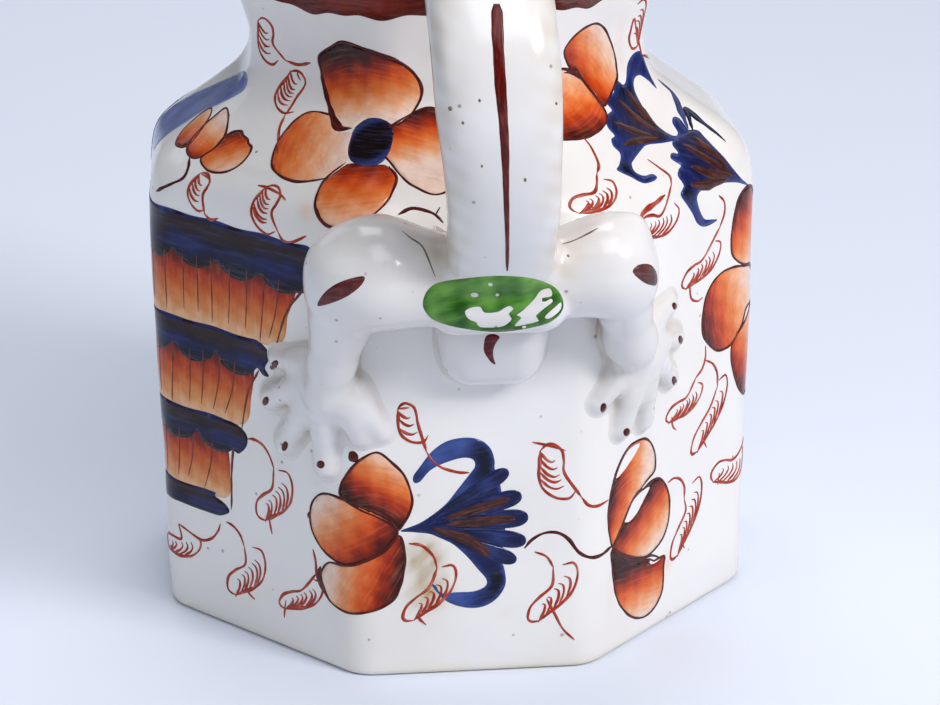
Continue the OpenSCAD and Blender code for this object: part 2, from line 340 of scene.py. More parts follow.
# ---------------------------------------------------------------- body
def ring_params():
    """Positions round the jug, closer together in the rounded corners."""
    t = np.concatenate([np.linspace(0, 0.38, 13)[:-1], np.linspace(0.38, 0.62, 13), np.linspace(0.62, 1,
        13)[1:-1]])
    return np.concatenate([i + t for i in range(8)])


# soft stains in or on the glaze: face, u, v, radius across, radius up, how strong, colour
STAINS = [(0, -6.6, 17.5, 2.7, 3.0, 1.0, (168, 138, 74)), (0, -6.2, 12.6, 2.8, 2.6, 1.0, (178, 146, 82)),
    (0, 4.3, 8.8, 1.2, 1.0, 0.15, (200, 170, 150)), (1, 6.3, 86, 1.6, 4.0, 0.35, (236, 190, 160)),
    (1, 0.8, 9.3, 1.2, 2.0, 0.5, (238, 178, 140)), (1, -12.3, 9.5, 0.9, 3.0, 0.3, (240, 196, 168)),
    (-1, 9.0, 64.8, 1.4, 1.3, 0.5, (232, 176, 140)), (-1, -2.5, 68.5, 5.0, 0.9, 0.18, (170, 182, 208)),
    (1, 12.5, 78, 3.0, 3.5, 0.22, (206, 180, 190)), (3, 6, 20, 3, 4, 0.3, (232, 200, 168)), (-3, -4, 70,
    3, 3, 0.25, (232, 190, 165)), (4, 2, 12, 4, 2, 0.25, (230, 205, 170))]


def glaze_tint(p, a, w):
    """Where the glaze is stained: warmer at the foot edge and soft spots; a slightly darker band round the
    narrow neck is painted shade under the rim.
    """
    tint = np.ones(p.shape)
    z = p[..., 2]
    low = np.exp(-(np.clip(z, 0, None) / 1.1) ** 2) * (0.55 + 0.3 * np.sin(a * 5.3) * np.sin(a * 2.1 + 1))
    tint *= 1 - low[..., None] * (1 - np.array([0.93, 0.84, 0.66]))
    # painted shade: a band round the narrow neck, under the flaring rim, is darkened a little
    neck_band_shade = np.exp(-((z - 80) / 5) ** 2)[..., None]
    tint *= 1 - neck_band_shade * np.array([0.05, 0.06, 0.05])
    for face, u, v, ru, rv, much, colour in STAINS:
        a0, w0 = chart(face, u, v)
        du = (a - a0[()]) % 8
        du = np.where(du > 4, du - 8, du) * 33
        g = much * np.exp(-((du / ru) ** 2 + ((w - w0[()]) / rv) ** 2) ** 1.5)
        g = g * (0.62 + 0.38 * np.sin(du * 3.1 + w * 1.7) * np.sin(w * 2.9 - du))
        tint *= 1 - g[..., None] * (1 - np.minimum(1, srgb(*colour) / 0.83))
    return tint


A = ring_params()
wo = np.unique(np.concatenate([np.linspace(0, outer.w[4], 24), np.linspace(outer.w[4], outer.w[8], 60),
    np.linspace(outer.w[8], outer.w[-4], 70), np.linspace(outer.w[-4], outer.w[-1], 14)]))
wi = np.unique(np.concatenate([np.linspace(0, inner.w[3], 14), np.linspace(inner.w[3], inner.w[13], 50),
                               np.linspace(inner.w[13], inner.w[-1], 30)]))
P_out = body_point(A[None, :], wo[:, None], outer)
P_in = body_point(A[None, :], wi[:, None], inner)
P_out[0, :, 2] = 0
under = P_in[-1:].copy()
under[..., 2] = 5.2
heel = P_out[:1].copy()
heel[..., 2] = 5.2
levels = np.concatenate([P_out, P_in[1:], under, heel])
tints = np.ones(levels.shape)
tints[:len(wo)] = glaze_tint(P_out, A[None, :] + 0 * wo[:, None], wo[:, None] + 0 * A[None, :])
rows, cols = levels.shape[:2]
verts = levels.reshape(-1, 3)
faces = grid_faces(rows, cols, True)
close = (rows - 1) * cols + np.arange(cols)
ring = np.arange(cols)
seam = np.stack([close, (close[0] + (ring + 1) % cols), (ring + 1) % cols, ring], 1)
rgba = np.concatenate([tints.reshape(-1, 3), np.ones((rows * cols, 1))], 1)
body = make_mesh("jug_body", verts, np.concatenate([faces, seam]), glaze, colors=rgba)
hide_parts("body_wall")
for slot_ in bpy.data.objects["base_slab"].material_slots:
    slot_.material = glaze_foot

# ---------------------------------------------------------------- the animal handle, as a field
VOX = 0.25
FIELD_LO = np.array([-34.0, -70.0, 26.0])
FIELD_HI = np.array([36.0, -16.0, 114.0])
ORIGIN = np.round(FIELD_LO / VOX).astype(int)
SHAPE = np.round((FIELD_HI - FIELD_LO) / VOX).astype(int)
FAR = 6.0


def smooth_min(a, b, k):
    h = np.maximum(k - np.abs(a - b), 0) / k
    return np.minimum(a, b) - h * h * k * 0.25


class Field:
    """Signed distance in mm on a regular grid, built up from rounded forms."""

    def __init__(self):
        self.v = np.full(tuple(SHAPE), FAR, np.float32)

    def part(self, lo, hi):
        i0 = np.clip(np.floor((np.asarray(lo) - FAR) / VOX).astype(int) - ORIGIN, 0, SHAPE)
        i1 = np.clip(np.ceil((np.asarray(hi) + FAR) / VOX).astype(int) - ORIGIN, 0, SHAPE)
        cut = tuple(slice(a, b) for a, b in zip(i0, i1))
        x, y, z = [((np.arange(a, b) + o) * VOX).astype(np.float32) for a, b, o in zip(i0, i1, ORIGIN)]
        return cut, x[:, None, None], y[None, :, None], z[None, None, :]

    def join(self, cut, d, k):
        self.v[cut] = smooth_min(self.v[cut], d, k) if k > 0 else np.minimum(self.v[cut], d)

    def carve(self, cut, d, k):
        self.v[cut] = -smooth_min(-self.v[cut], d, k)

    @staticmethod
    def cone_distance(x, y, z, a, b, ra, rb):
        ax, ay, az = a
        ux, uy, uz = np.subtract(b, a)
        t = ((x - ax) * ux + (y - ay) * uy + (z - az) * uz) / (ux * ux + uy * uy + uz * uz)
        t = np.clip(t, 0, 1)
        d = np.sqrt((x - ax - t * ux) ** 2 + (y - ay - t * uy) ** 2 + (z - az - t * uz) ** 2)
        return d - (ra + (rb - ra) * t)

    def cone(self, a, b, ra, rb, k, carve=False):
        r = max(ra, rb)
        cut, x, y, z = self.part(np.minimum(a, b) - r, np.maximum(a, b) + r)
        d = self.cone_distance(x, y, z, a, b, ra, rb)
        (self.carve if carve else self.join)(cut, d, k)

    def ellipsoid(self, c, radii, k, tilt=0.0):
        """tilt turns it about Y, in degrees."""
        r = max(radii)
        cut, x, y, z = self.part(np.subtract(c, r), np.add(c, r))
        x, y, z = x - c[0], y - c[1], z - c[2]
        ct, st = math.cos(math.radians(tilt)), math.sin(math.radians(tilt))
        x, z = ct * x + st * z, -st * x + ct * z
        a, b, e = radii
        k0 = np.sqrt((x / a) ** 2 + (y / b) ** 2 + (z / e) ** 2)
        k1 = np.sqrt((x / a ** 2) ** 2 + (y / b ** 2) ** 2 + (z / e ** 2) ** 2) + 1e-6
        d = k0 * (k0 - 1) / k1
        self.join(cut, d.astype(np.float32), k)


# centre line of the strap: sideways place, depth, height, half width, half thickness
STRAP = np.array([
    (2.6, -41.0, 57.8, 7.5, 4.4), (2.6, -45.4, 59.2, 7.4, 4.5), (2.6, -49.6, 62.2, 6.95, 4.5),
    (2.5, -53.4, 67.0, 6.75, 4.5), (2.25, -57.8, 72.5, 6.85, 4.5), (1.8, -60.9, 78.5, 7.05, 4.5),
    (1.3, -62.5, 85.0, 7.4, 4.5), (1.0, -61.6, 91.5, 7.5, 4.5), (0.7, -57.5, 97.5, 7.5, 4.5),
    (0.5, -50.6, 102.2, 7.4, 4.4), (0.3, -42.5, 104.6, 6.9, 4.3), (0.1, -36.0, 105.2, 6.4, 4.2)])


STRAP_SAMPLES = 700


def strap_curve():
    """The strap's rows joined by a smooth line."""
    step = np.sqrt((np.diff(STRAP[:, 1:3], axis=0) ** 2).sum(1))
    s = np.concatenate([[0], np.cumsum(step)])
    return np.stack([catmull(s, STRAP[:, k], np.linspace(0, s[-1], STRAP_SAMPLES)) for k in range(5)], 1)


def catmull(x, y, xs):
    """Smooth cubic through (x, y) with centred slopes."""
    m = np.gradient(y, x)
    k = np.clip(np.searchsorted(x, xs) - 1, 0, len(x) - 2)
    h = x[k + 1] - x[k]
    t = (xs - x[k]) / h
    return ((1 + 2 * t) * (1 - t) ** 2 * y[k] + t * (1 - t) ** 2 * h * m[k]
            + t * t * (3 - 2 * t) * y[k + 1] + t * t * (t - 1) * h * m[k + 1])


def add_strap(field):
    c = strap_curve()
    cut, x, y, z = field.part((-10, -68, 54), (12, -32, 111))
    y2, z2 = y[0, :, 0], z[0, 0, :]
    yy, zz = np.meshgrid(y2, z2, indexing="ij")
    best = np.full(yy.shape, 1e9, np.float32)
    which = np.zeros(yy.shape, int)
    for i in range(len(c)):
        d = (yy - c[i, 1]) ** 2 + (zz - c[i, 2]) ** 2
        near = d < best
        best[near] = d[near]
        which[near] = i
    off = np.sqrt(best)
    mid, hw, ht = c[which, 0], c[which, 3], c[which, 4]
    u = np.abs(x - mid[None]) / hw[None]
    v = (off / ht)[None]
    p = 2.7
    f = (u ** p + v ** p + 1e-9) ** (1 / p)
    # distance of the rounded section, measured across its thinner side
    scale = ht[None] * (1 - 0.25 * np.clip(u, 0, 1))
    field.v[cut] = np.minimum(field.v[cut], ((f - 1) * scale).astype(np.float32))


TOE_BLEND = 1.5


def toe(field, face, a, b, ra, rb, tip):
    """A toe lying on the wall between two chart places, with a rounded pad at its tip."""
    (u0, v0, h0), (u1, v1, h1) = a, b
    t = np.linspace(0, 1, 7)
    aa, ww = chart(face, u0 + (u1 - u0) * t, v0 + (v1 - v0) * t)
    p, n = body_frame(aa, ww)
    p = p + n * (0.8 * h0 + (0.8 * h1 - 0.8 * h0) * t - 0.25 + 0.45 * np.sin(t * math.pi))[:, None]
    cut, x, y, z = field.part(p.min(0) - ra - tip, p.max(0) + ra + tip)
    r = np.interp(t, [0, 0.45, 0.72, 1], [ra, 0.5 * (ra + rb), rb, tip])
    d = field.cone_distance(x, y, z, p[0], p[1], r[0], r[1])
    for i in range(1, 6):
        d = smooth_min(d, field.cone_distance(x, y, z, p[i], p[i + 1], r[i], r[i + 1]), 0.3)
    field.join(cut, d.astype(np.float32), TOE_BLEND)


animal = Field()
add_strap(animal)
# left thigh, knee, shin and foot
animal.ellipsoid((-13.4, -47.6, 61.0), (8.4, 6.6, 6.8), 2.2, tilt=-6)
animal.cone((-3.0, -46.4, 58.9), (-12.0, -47.4, 61.0), 5.6, 6.9, 2.0)
animal.cone((-14.0, -41.5, 60.4), (-4.0, -41.5, 58.0), 4.4, 3.8, 2.0)
animal.cone((-16.6, -46.4, 57.4), (-18.3, -41.7, 47.2), 4.9, 2.95, 2.2)
animal.cone((-18.3, -41.7, 47.2), (-19.0, -39.6, 41.8), 2.95, 2.9, 1.6)
animal.cone((-19.4, -38.6, 42.6), (-16.8, -40.0, 41.6), 2.3, 2.1, 1.4)
LEFT_TOES = [
    (-1, (11.6, 45.2, 1.3), (4.2, 43.6, 0.1), 2.1, 1.35, 1.55),
    (-1, (11.4, 42.6, 1.5), (2.6, 37.6, 0.2), 2.2, 1.55, 1.8),
    (-1, (12.4, 41.2, 1.7), (5.1, 31.7, 0.2), 2.3, 1.6, 1.85),
    (-1, (14.0, 40.4, 1.8), (12.1, 30.4, 0.3), 2.4, 1.65, 1.9),
    (0, (-15.8, 40.8, 1.6), (-15.0, 35.6, 0.1), 2.2, 1.5, 1.5),
    (0, (-15.4, 42.2, 1.2), (-12.2, 36.0, -0.2), 2.0, 1.3, 1.35)]
for one_toe in LEFT_TOES:
    toe(animal, *one_toe)
# right thigh, peaked knee, shin and foot
animal.ellipsoid((16.2, -46.9, 60.8), (6.4, 5.9, 6.2), 2.2, tilt=14)
animal.cone((7.8, -46.4, 59.0), (16.0, -46.8, 60.6), 5.5, 5.9, 2.0)
animal.cone((12.5, -45.8, 62.4), (19.6, -45.8, 65.0), 2.0, 1.6, 2.4)
animal.cone((16.0, -41.4, 60.2), (8.6, -41.4, 58.2), 4.2, 3.8, 2.0)
animal.cone((18.4, -46.0, 57.6), (20.6, -39.8, 47.8), 4.3, 2.8, 2.2)
animal.cone((20.6, -39.8, 47.8), (22.6, -35.0, 42.2), 2.9, 2.1, 3.2)
RIGHT_TOES = [
    (1, (-8.2, 46.8, 1.1), (-0.9, 48.4, 0.1), 2.0, 1.3, 1.5),
    (1, (-7.8, 45.0, 1.4), (0.5, 43.2, 0.1), 2.1, 1.45, 1.65),
    (1, (-7.6, 43.4, 1.6), (-0.8, 37.8, 0.2), 2.2, 1.5, 1.7),
    (1, (-8.8, 42.6, 1.8), (-6.4, 33.4, 0.2), 2.3, 1.6, 1.7),
    (1, (-10.8, 42.6, 1.7), (-11.2, 33.8, 0.2), 2.3, 1.6, 1.8),
    (1, (-12.0, 44.0, 1.3), (-15.6, 38.6, -0.1), 2.1, 1.4, 1.5)]
for one_toe in RIGHT_TOES:
    toe(animal, *one_toe)
# tail stub below the boss
animal.cone((-0.4, -42.6, 51.4), (5.2, -42.6, 51.4), 4.5, 4.5, 1.2)
animal.cone((-0.2, -40.9, 46.9), (5.0, -40.9, 46.9), 3.9, 3.9, 3.0)
# oval boss
animal.cone((-2.8, -49.4, 57.1), (7.6, -49.4, 57.1), 3.9, 3.9, 0.7)
animal.cone((-2.2, -44.0, 56.6), (7.0, -44.0, 56.6), 3.8, 3.8, 1.5)
# head over the rim
animal.ellipsoid((0, -36.4, 105.7), (6.9, 7.2, 5.2), 2.5)
animal.ellipsoid((0, -29.0, 104.3), (5.4, 7.4, 4.0), 2.5)
for side in (-1, 1):
    animal.ellipsoid((side * 4.1, -33.6, 108.7), (2.3, 2.6, 2.2), 0.9)
    animal.cone((side * 5.6, -33.2, 103.0), (side * 1.2, -21.6, 103.4), 0.32, 0.25, 0.5, carve=True)
    animal.cone((side * 1.5, -23.0, 106.6), (side * 1.5, -22.4, 107.6), 0.42, 0.42, 0.4, carve=True)


def level_set(points, quads):
    grid = openvdb.FloatGrid.createLevelSetFromPolygons(
        np.ascontiguousarray(points, np.float32), quads=np.ascontiguousarray(quads, np.uint32),
        transform=openvdb.createLinearTransform(voxelSize=VOX), halfWidth=float(round(3.0 / VOX)))
    out = np.zeros(tuple(SHAPE), np.float32)
    grid.copyToArray(out, ijk=tuple(int(i) for i in ORIGIN))
    return out


def closed_wall_field():
    """Distance to the jug taken as a solid block below the neck, and as its real wall above."""
    block_w = wo[wo < outer.w[-1] - 14]
    block = body_point(A[None, :], block_w[:, None], outer)
    r, c = block.shape[:2]
    pts = np.concatenate([block.reshape(-1, 3), [[0, 0, block[0, 0, 2]], [0, 0, block[-1, 0, 2]]]])
    quads = grid_faces(r, c, True)
    j = np.arange(c)
    cap0 = np.stack([np.full(c, r * c), (j + 1) % c, j, j], 1)
    top = (r - 1) * c
    cap1 = np.stack([np.full(c, r * c + 1), top + j, top + (j + 1) % c, top + (j + 1) % c], 1)
    solid = level_set(pts, np.concatenate([quads, cap0, cap1]))
    r, c = levels.shape[:2]
    quads = grid_faces(r, c, True)
    j = np.arange(c)
    last = (r - 1) * c
    close = np.stack([last + j, last + (j + 1) % c, (j + 1) % c, j], 1)
    real = level_set(levels.reshape(-1, 3), np.concatenate([quads, close]))
    z = (np.arange(SHAPE[2]) + ORIGIN[2]) * VOX
    return np.where(z[None, None, :] < 84.0, solid, real)


wall_field = closed_wall_field()
CLAY_FILLET, MOST_FILLET, SUNK = 1.1, 1.8, 0.7  # how the animal's clay runs into the wall
merged = smooth_min(animal.v, wall_field + 0.03, CLAY_FILLET)
merged = np.maximum(merged, animal.v - MOST_FILLET)
merged = np.maximum(merged, -(wall_field + SUNK))


def polygonise(values):
    grid = openvdb.FloatGrid(background=float(FAR))
    grid.transform = openvdb.createLinearTransform(voxelSize=VOX)
    grid.copyFromArray(values.astype(np.float32), ijk=tuple(int(i) for i in ORIGIN))
    pts, tris, quads = grid.convertToPolygons(isovalue=0.0, adaptivity=0.0)
    return np.asarray(pts, float), np.asarray(tris), np.asarray(quads)


def sample(values, p):
    """Trilinear value of the grid at places p."""
    q = p / VOX - ORIGIN
    i = np.clip(np.floor(q).astype(int), 0, SHAPE - 2)
    f = q - i
    out = 0
    for dx in (0, 1):
        for dy in (0, 1):
            for dz in (0, 1):
                w = (np.where(dx, f[:, 0], 1 - f[:, 0]) * np.where(dy, f[:, 1], 1 - f[:, 1])
                     * np.where(dz, f[:, 2], 1 - f[:, 2]))
                out = out + w * values[i[:, 0] + dx, i[:, 1] + dy, i[:, 2] + dz]
    return out


def gradient(values, p, h):
    g = np.stack([sample(values, p + e) - sample(values, p - e) for e in np.eye(3) * h], 1)
    return g / (np.linalg.norm(g, axis=1, keepdims=True) + 1e-9)


skin, skin_tris, skin_quads = polygonise(merged)
for _ in range(2):
    skin = skin - gradient(merged, skin, VOX) * sample(merged, skin)[:, None] * 0.9
skin_normals = gradient(merged, skin, VOX * 2)
print("animal skin", len(skin), len(skin_tris), len(skin_quads))


def region_of(c):
    """Which piece of the animal a place belongs to."""
    x, y, z = c[:, 0], c[:, 1], c[:, 2]
    out = np.full(len(c), 0)
    out[(z < 74) & (x < -4.7)] = 1
    out[(z < 74) & (x > 9.5)] = 2
    out[(z < 55.0) & (x > -6.9) & (x < 11.7) & (y > -47.5)] = 3
    across = np.clip(x, -2.8, 7.6)
    boss = np.hypot(x - across, z - 57.1) < 4.0
    out[boss & (y < -46.0)] = 4
    out[(z > 94) & (y > -41.0)] = 5
    return out


# dirt caught in the glaze: x, y, z, radius, how strong
DIRT = [(14.5, -48.0, 65.5, 1.2, 0.5), (-5.6, -51.0, 64.0, 0.8, 0.35)]

PIECES = [("animal_back", "handle_strap"), ("animal_left_leg", "left_leg"), ("animal_right_leg",
    "right_leg"), ("animal_tail", "tail_stub"), ("animal_boss", "rump_pad"), ("animal_head",
    "head_terminal")]


def onto_skin(p):
    """Nearest places on the animal's skin, and the directions out of it."""
    for _ in range(3):
        p = p - gradient(merged, p, VOX) * sample(merged, p)[:, None] * 0.95
    return p, gradient(merged, p, VOX * 2)


def clay_tint_with_crease_shade(p, n):
    """Grime that the glaze holds in the creases, together with painted shade in the creases, and spots of
    dirt.
    """
    # painted shade: the deeper a place sits in a crease, the more it is darkened and browned, standing for
    # shade there as well as grime
    hollow = np.clip(1 - sample(merged, p + n * 1.3) / 1.3, 0, 1)
    grime_and_crease_shade = np.clip(hollow * 1.5 - 0.12, 0, 1) * (0.6 + 0.4 * np.sin(p[:, 0] * 1.1 + p[:, 2] * 0.7)
        * np.sin(p[:, 2] * 1.3))
    tint = np.array([0.91, 0.91, 0.925]) - grime_and_crease_shade[:, None] * (1 - np.array([0.80, 0.72, 0.60]))
    for x, y, z, r, much in DIRT:
        g = much * np.exp(-((p[:, 0] - x) ** 2 + (p[:, 1] - y) ** 2 + (p[:, 2] - z) ** 2) / r ** 2)
        tint *= 1 - g[:, None] * (1 - np.array([0.50, 0.38, 0.24]))
    return np.concatenate([tint, np.ones((len(p), 1))], 1)


def boundary_loops(polys):
    """Closed chains of edges that only one face uses, in order."""
    a = polys.ravel()
    b = np.roll(polys, -1, 1).ravel()
    have = set(zip(a.tolist(), b.tolist()))
    after = {}
    for i, j in have:
        if i != j and (j, i) not in have:
            after.setdefault(j, []).append(i)
    loops = []
    while after:
        start = next(iter(after))
        loop, at = [start], after[start].pop()
        if not after[start]:
            del after[start]
        while at != start and at in after:
            loop.append(at)
            nxt = after[at].pop()
            if not after[at]:
                del after[at]
            at = nxt
        loops.append(loop)
    return loops


def cut_into_pieces():
    polys = np.concatenate([skin_quads, np.column_stack([skin_tris, skin_tris[:,
        2]])]) if len(skin_tris) else skin_quads
    centre = skin[polys].mean(1)
    region = region_of(centre)
    for k, (name, replaced) in enumerate(PIECES):
        mine = polys[region == k]
        used, back = np.unique(mine, return_inverse=True)
        mine = back.reshape(mine.shape)
        p, n = skin[used], skin_normals[used]
        faces = mine.tolist()
        caps, outside = [], len(faces)
        for loop in boundary_loops(mine):
            if len(loop) < 3:
                continue
            caps.append(p[loop].mean(0) - 1.5 * n[loop].mean(0))
            tip = len(p) + len(caps) - 1
            faces += [[i, j, tip] for i, j in zip(loop, loop[1:] + loop[:1])]
        if caps:
            p = np.concatenate([p, caps])
            n = np.concatenate([n, np.tile([0, -1, 0], (len(caps), 1))])
        obj = make_mesh(name, p, faces, glaze, colors=clay_tint_with_crease_shade(p, n), normals=n,
            flat_from=outside)
        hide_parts(replaced)


cut_into_pieces()

# ---------------------------------------------------------------- enamel painting
def smooth_line(pts, step=0.35, closed=False):
    """Catmull-Rom curve through 2-D points, about `step` mm between samples."""
    p = np.asarray(pts, float)
    p = np.concatenate([p[-1:], p, p[:2]]) if closed else np.concatenate([[2 * p[0] - p[1]], p,
        [2 * p[-1] - p[-2]]])
    out = []
    for a, b, c, d in zip(p, p[1:], p[2:], p[3:]):
        n = max(1, math.ceil(np.linalg.norm(c - b) / step))
        t = np.arange(n)[:, None] / n
        out.append(0.5 * (2 * b + (c - a) * t + (2 * a - 5 * b + 4 * c - d) * t * t + (3 * b - a - 3 * c
            + d) * t ** 3))
    if not closed:
        out.append(p[-2][None])
    return np.concatenate(out)


def inside(poly, p):
    a, b = poly, np.roll(poly, -1, 0)
    x, y = p[:, :1], p[:, 1:]
    crossing = (a[:, 1] > y) != (b[:, 1] > y)
    at = (b[:, 0] - a[:, 0]) * (y - a[:, 1]) / (b[:, 1] - a[:, 1] + 1e-12) + a[:, 0]
    return (crossing & (x < at)).sum(1) % 2 == 1


def wobble(x, y, seed=0.0):
    """Smooth noise about -1..1 for hand work."""
    return (np.sin(1.7 * x + 0.9 * y + seed * 3.1) * np.sin(1.1 * y - 0.6 * x + seed)
            + 0.5 * np.sin(3.9 * x - 2.3 * y + seed * 1.7) * np.sin(3.1 * y + 1.3 * x + seed * 2.3))


class Place:
    """A motif's own flat frame set down on a face: moved, turned, resized, mirrored."""

    def __init__(self, face, at=(0, 0), size=1.0, turn=0.0, flip=1):
        self.face, self.at, self.size = face, np.array(at, float), size
        c, s = math.cos(math.radians(turn)), math.sin(math.radians(turn))
        self.matrix = np.array([[c * flip, -s], [s * flip, c]]) * size

    def __call__(self, pts):
        return np.asarray(pts, float) @ self.matrix.T + self.at


UNDERSIDE = -0.16  # enamel films reach this far into the glaze


class Coat:
    """One coat of enamel: thin closed films that follow the surface under them."""

    def __init__(self, name, mat):
        self.name, self.mat = name, mat
        self.parts, self.faces, self.count = [], [], 0

    def _add(self, points, normals, h, rgb, brush, faces):
        n = len(points)
        self.parts.append((points + normals * h[:, None], np.broadcast_to(rgb, (n, 3)), brush))
        self.faces.extend([tuple(int(i) + self.count for i in f) for f in faces])
        self.count += n

    def ribbon(self, place, pts, width, colour, lift=0.085, taper=(0.35, 0.35), closed=False,
            surface=None, rough=1.0):
        """A brush line; `width` is a number or one number per point."""
        c = smooth_line(pts, 0.35 / place.size, closed)
        c = place(c)
        if np.ndim(width):
            near = np.linspace(0, 1, len(width))
            width = np.interp(np.linspace(0, 1, len(c)), near, width)
        tangent = np.gradient(c, axis=0) if not closed else np.roll(c, -1, 0) - np.roll(c, 1, 0)
        tangent /= np.linalg.norm(tangent, axis=1, keepdims=True) + 1e-9
        side = np.stack([tangent[:, 1], -tangent[:, 0]], 1)
        s = np.concatenate([[0], np.cumsum(np.linalg.norm(np.diff(c, axis=0), axis=1))])
        seed = rng.uniform(0, 50)
        half = 0.5 * width * place.size * (1 + rough * (0.16 * np.sin(s * 0.9 + seed) + 0.10
            * np.sin(s * 2.3 + seed * 2)))
        if not closed:
            reach = 0.9
            half = half * np.clip(taper[0] + (1 - taper[0]) * s / reach, 0, 1) * np.clip(taper[1]
                + (1 - taper[1]) * (s[-1] - s) / reach, 0, 1)
        across = np.array([-1, -0.62, 0, 0.62, 1, 0])
        high = np.array([-0.03, 0.8 * lift, lift, 0.8 * lift, -0.03, -0.14])
        q = c[:, None] + side[:, None] * half[:, None, None] * across[None, :, None]
        k, m = len(c), 6
        h = np.tile(high, k)
        rgb = np.asarray(colour)[None, None] * (1 + 0.18 * wobble(s, 0 * s, seed))[:, None,
            None] * np.ones((k, m, 1))
        brush = np.stack([np.repeat(s / 2.2, m), np.tile(across, k) * np.repeat(half, m) / 0.35,
            np.full(k * m, seed)], 1)
        faces = []
        for i in range(k if closed else k - 1):
            j = (i + 1) % k
            faces += [(i * m + e, i * m + (e + 1) % m, j * m + (e + 1) % m, j * m + e) for e in range(m)]
        if not closed:
            faces += [tuple(range(m - 1, -1, -1)), tuple((k - 1) * m + e for e in range(m))]
        if surface is None:
            p, n = body_frame(*chart(place.face, q[..., 0].ravel(), q[..., 1].ravel()))
        else:
            p, n = surface(q.reshape(-1, 2))
        self._add(p, n, h, np.clip(rgb, 0, 1).reshape(-1, 3), brush, faces)

    def film(self, place, outline, colour, lift=0.05, along=0.0, bare=(), step=0.6, surface=None,
            stretch=(5.0, 0.45), around=None, halo=None, rim=0.018):
        """A filled patch. colour(u, v) works in the motif's own frame; bare areas are left out."""
        rims = [smooth_line(o, 0.4 / place.size, True) for o in (outline, *bare)]
        lo, hi = rims[0].min(0), rims[0].max(0)
        g = step / place.size
        gx, gy = np.meshgrid(np.arange(lo[0], hi[0], g), np.arange(lo[1], hi[1], g * 0.87))
        gx[1::2] += g / 2
        grid = np.stack([gx.ravel(), gy.ravel()], 1)
        grid = grid[inside(rims[0], grid)]
        edge = np.concatenate(rims)
        far = np.sqrt(((grid[:, None] - edge[None]) ** 2).sum(-1).min(1)) if len(grid) else np.zeros(0)
        grid, far = grid[far > 0.45 * g], far[far > 0.45 * g]
        pts = np.concatenate([edge, grid])
        loops, k = [], 0
        for r in rims:
            loops += [(k + i, k + (i + 1) % len(r)) for i in range(len(r))]
            k += len(r)
        out, _, tris, _, _, _ = delaunay_2d_cdt([Vector(p) for p in pts], loops, [], 0, 1e-6)
        out, tris = np.array([tuple(p) for p in out]), np.array([t for t in tris if len(t) == 3])
        mid = out[tris].mean(1)
        keep = inside(rims[0], mid)
        for r in rims[1:]:
            keep &= ~inside(r, mid)
        tris = tris[keep]
        used, tris = np.unique(tris, return_inverse=True)
        out, tris = out[used], tris.reshape(-1, 3)
        area = np.cross(out[tris[:, 1]] - out[tris[:, 0]], out[tris[:, 2]] - out[tris[:, 0]])
        handed = np.linalg.det(place.matrix) > 0
        tris[(area < 0) == handed] = tris[(area < 0) == handed][:, ::-1]
        d = np.sqrt(((out[:, None] - edge[None]) ** 2).sum(-1).min(1)) * place.size
        h = np.where(d < 0.02, rim, np.maximum(rim, lift * np.clip(d / 0.5, 0.5, 1)))
        rgb = np.clip(colour(out[:, 0], out[:, 1]), 0, 1)
        if halo is not None:
            pale = 0.75 * np.exp(-(d / 0.32) ** 2)[:, None]
            rgb = rgb * (1 - pale) + srgb(*halo) * pale
        seed = rng.uniform(0, 50)
        if around is None:
            ca, sa = math.cos(math.radians(along)), math.sin(math.radians(along))
            s, t = out[:, 0] * ca + out[:, 1] * sa, -out[:, 0] * sa + out[:, 1] * ca
        else:
            t = np.hypot(out[:, 0] - around[0], out[:, 1] - around[1])
            s = np.arctan2(out[:, 1] - around[1], out[:, 0] - around[0]) * t.mean()
        brush = np.stack([s / stretch[0], t / stretch[1], np.full(len(s), seed)], 1)
        q = place(out)
        if surface is None:
            p, n = body_frame(*chart(place.face, q[:, 0], q[:, 1]))
        else:
            p, n = surface(q)
        m = len(out)
        directed = np.concatenate([tris[:, [0, 1]], tris[:, [1, 2]], tris[:, [2, 0]]])
        have = {(int(a), int(b)) for a, b in directed}
        wall = [(b, a, a + m, b + m) for a, b in have if (b, a) not in have]
        faces = [tuple(t) for t in tris] + [tuple(t[::-1] + m) for t in tris] + sorted(wall)
        self._add(np.concatenate([p, p]), np.concatenate([n, n]),
            np.concatenate([h, np.full(m, UNDERSIDE)]), np.concatenate([rgb, rgb]),
            np.concatenate([brush, brush]), faces)

    def finish(self):
        p, rgb, brush = (np.concatenate([part[i] for part in self.parts]) for i in range(3))
        obj = make_mesh(self.name, p, self.faces, self.mat, colors=np.concatenate([rgb,
            np.ones((len(rgb), 1))], 1))
        layer = obj.data.attributes.new("brush", "FLOAT_VECTOR", "POINT")
        layer.data.foreach_set("vector", brush.astype(np.float32).ravel())
        return obj


enamel_line = enamel_material("enamel_rust_line", 0.24, (0.66, 0.42, 0.36), 0.5, 0.04)
enamel_orange = enamel_material("enamel_orange_wash", 0.2, (0.86, 0.50, 0.32), 0.12, 0.012, deep=0.9)
enamel_dark = enamel_material("enamel_maroon_line", 0.22, (0.30, 0.12, 0.10), 0.35, 0.03)
enamel_blue = enamel_material("underglaze_blue", 0.15, (0.07, 0.09, 0.24), 0.35, 0.015, deep=0.8)
enamel_green = enamel_material("enamel_green", 0.16, (0.24, 0.42, 0.13), 0.22, 0.02, deep=0.8)
lines = Coat("leaf_sprays", enamel_line)
washes = Coat("orange_petals", enamel_orange)
darks = Coat("maroon_outlines", enamel_dark)
blues = Coat("blue_leaves", enamel_blue)
greens = Coat("green_enamel", enamel_green)

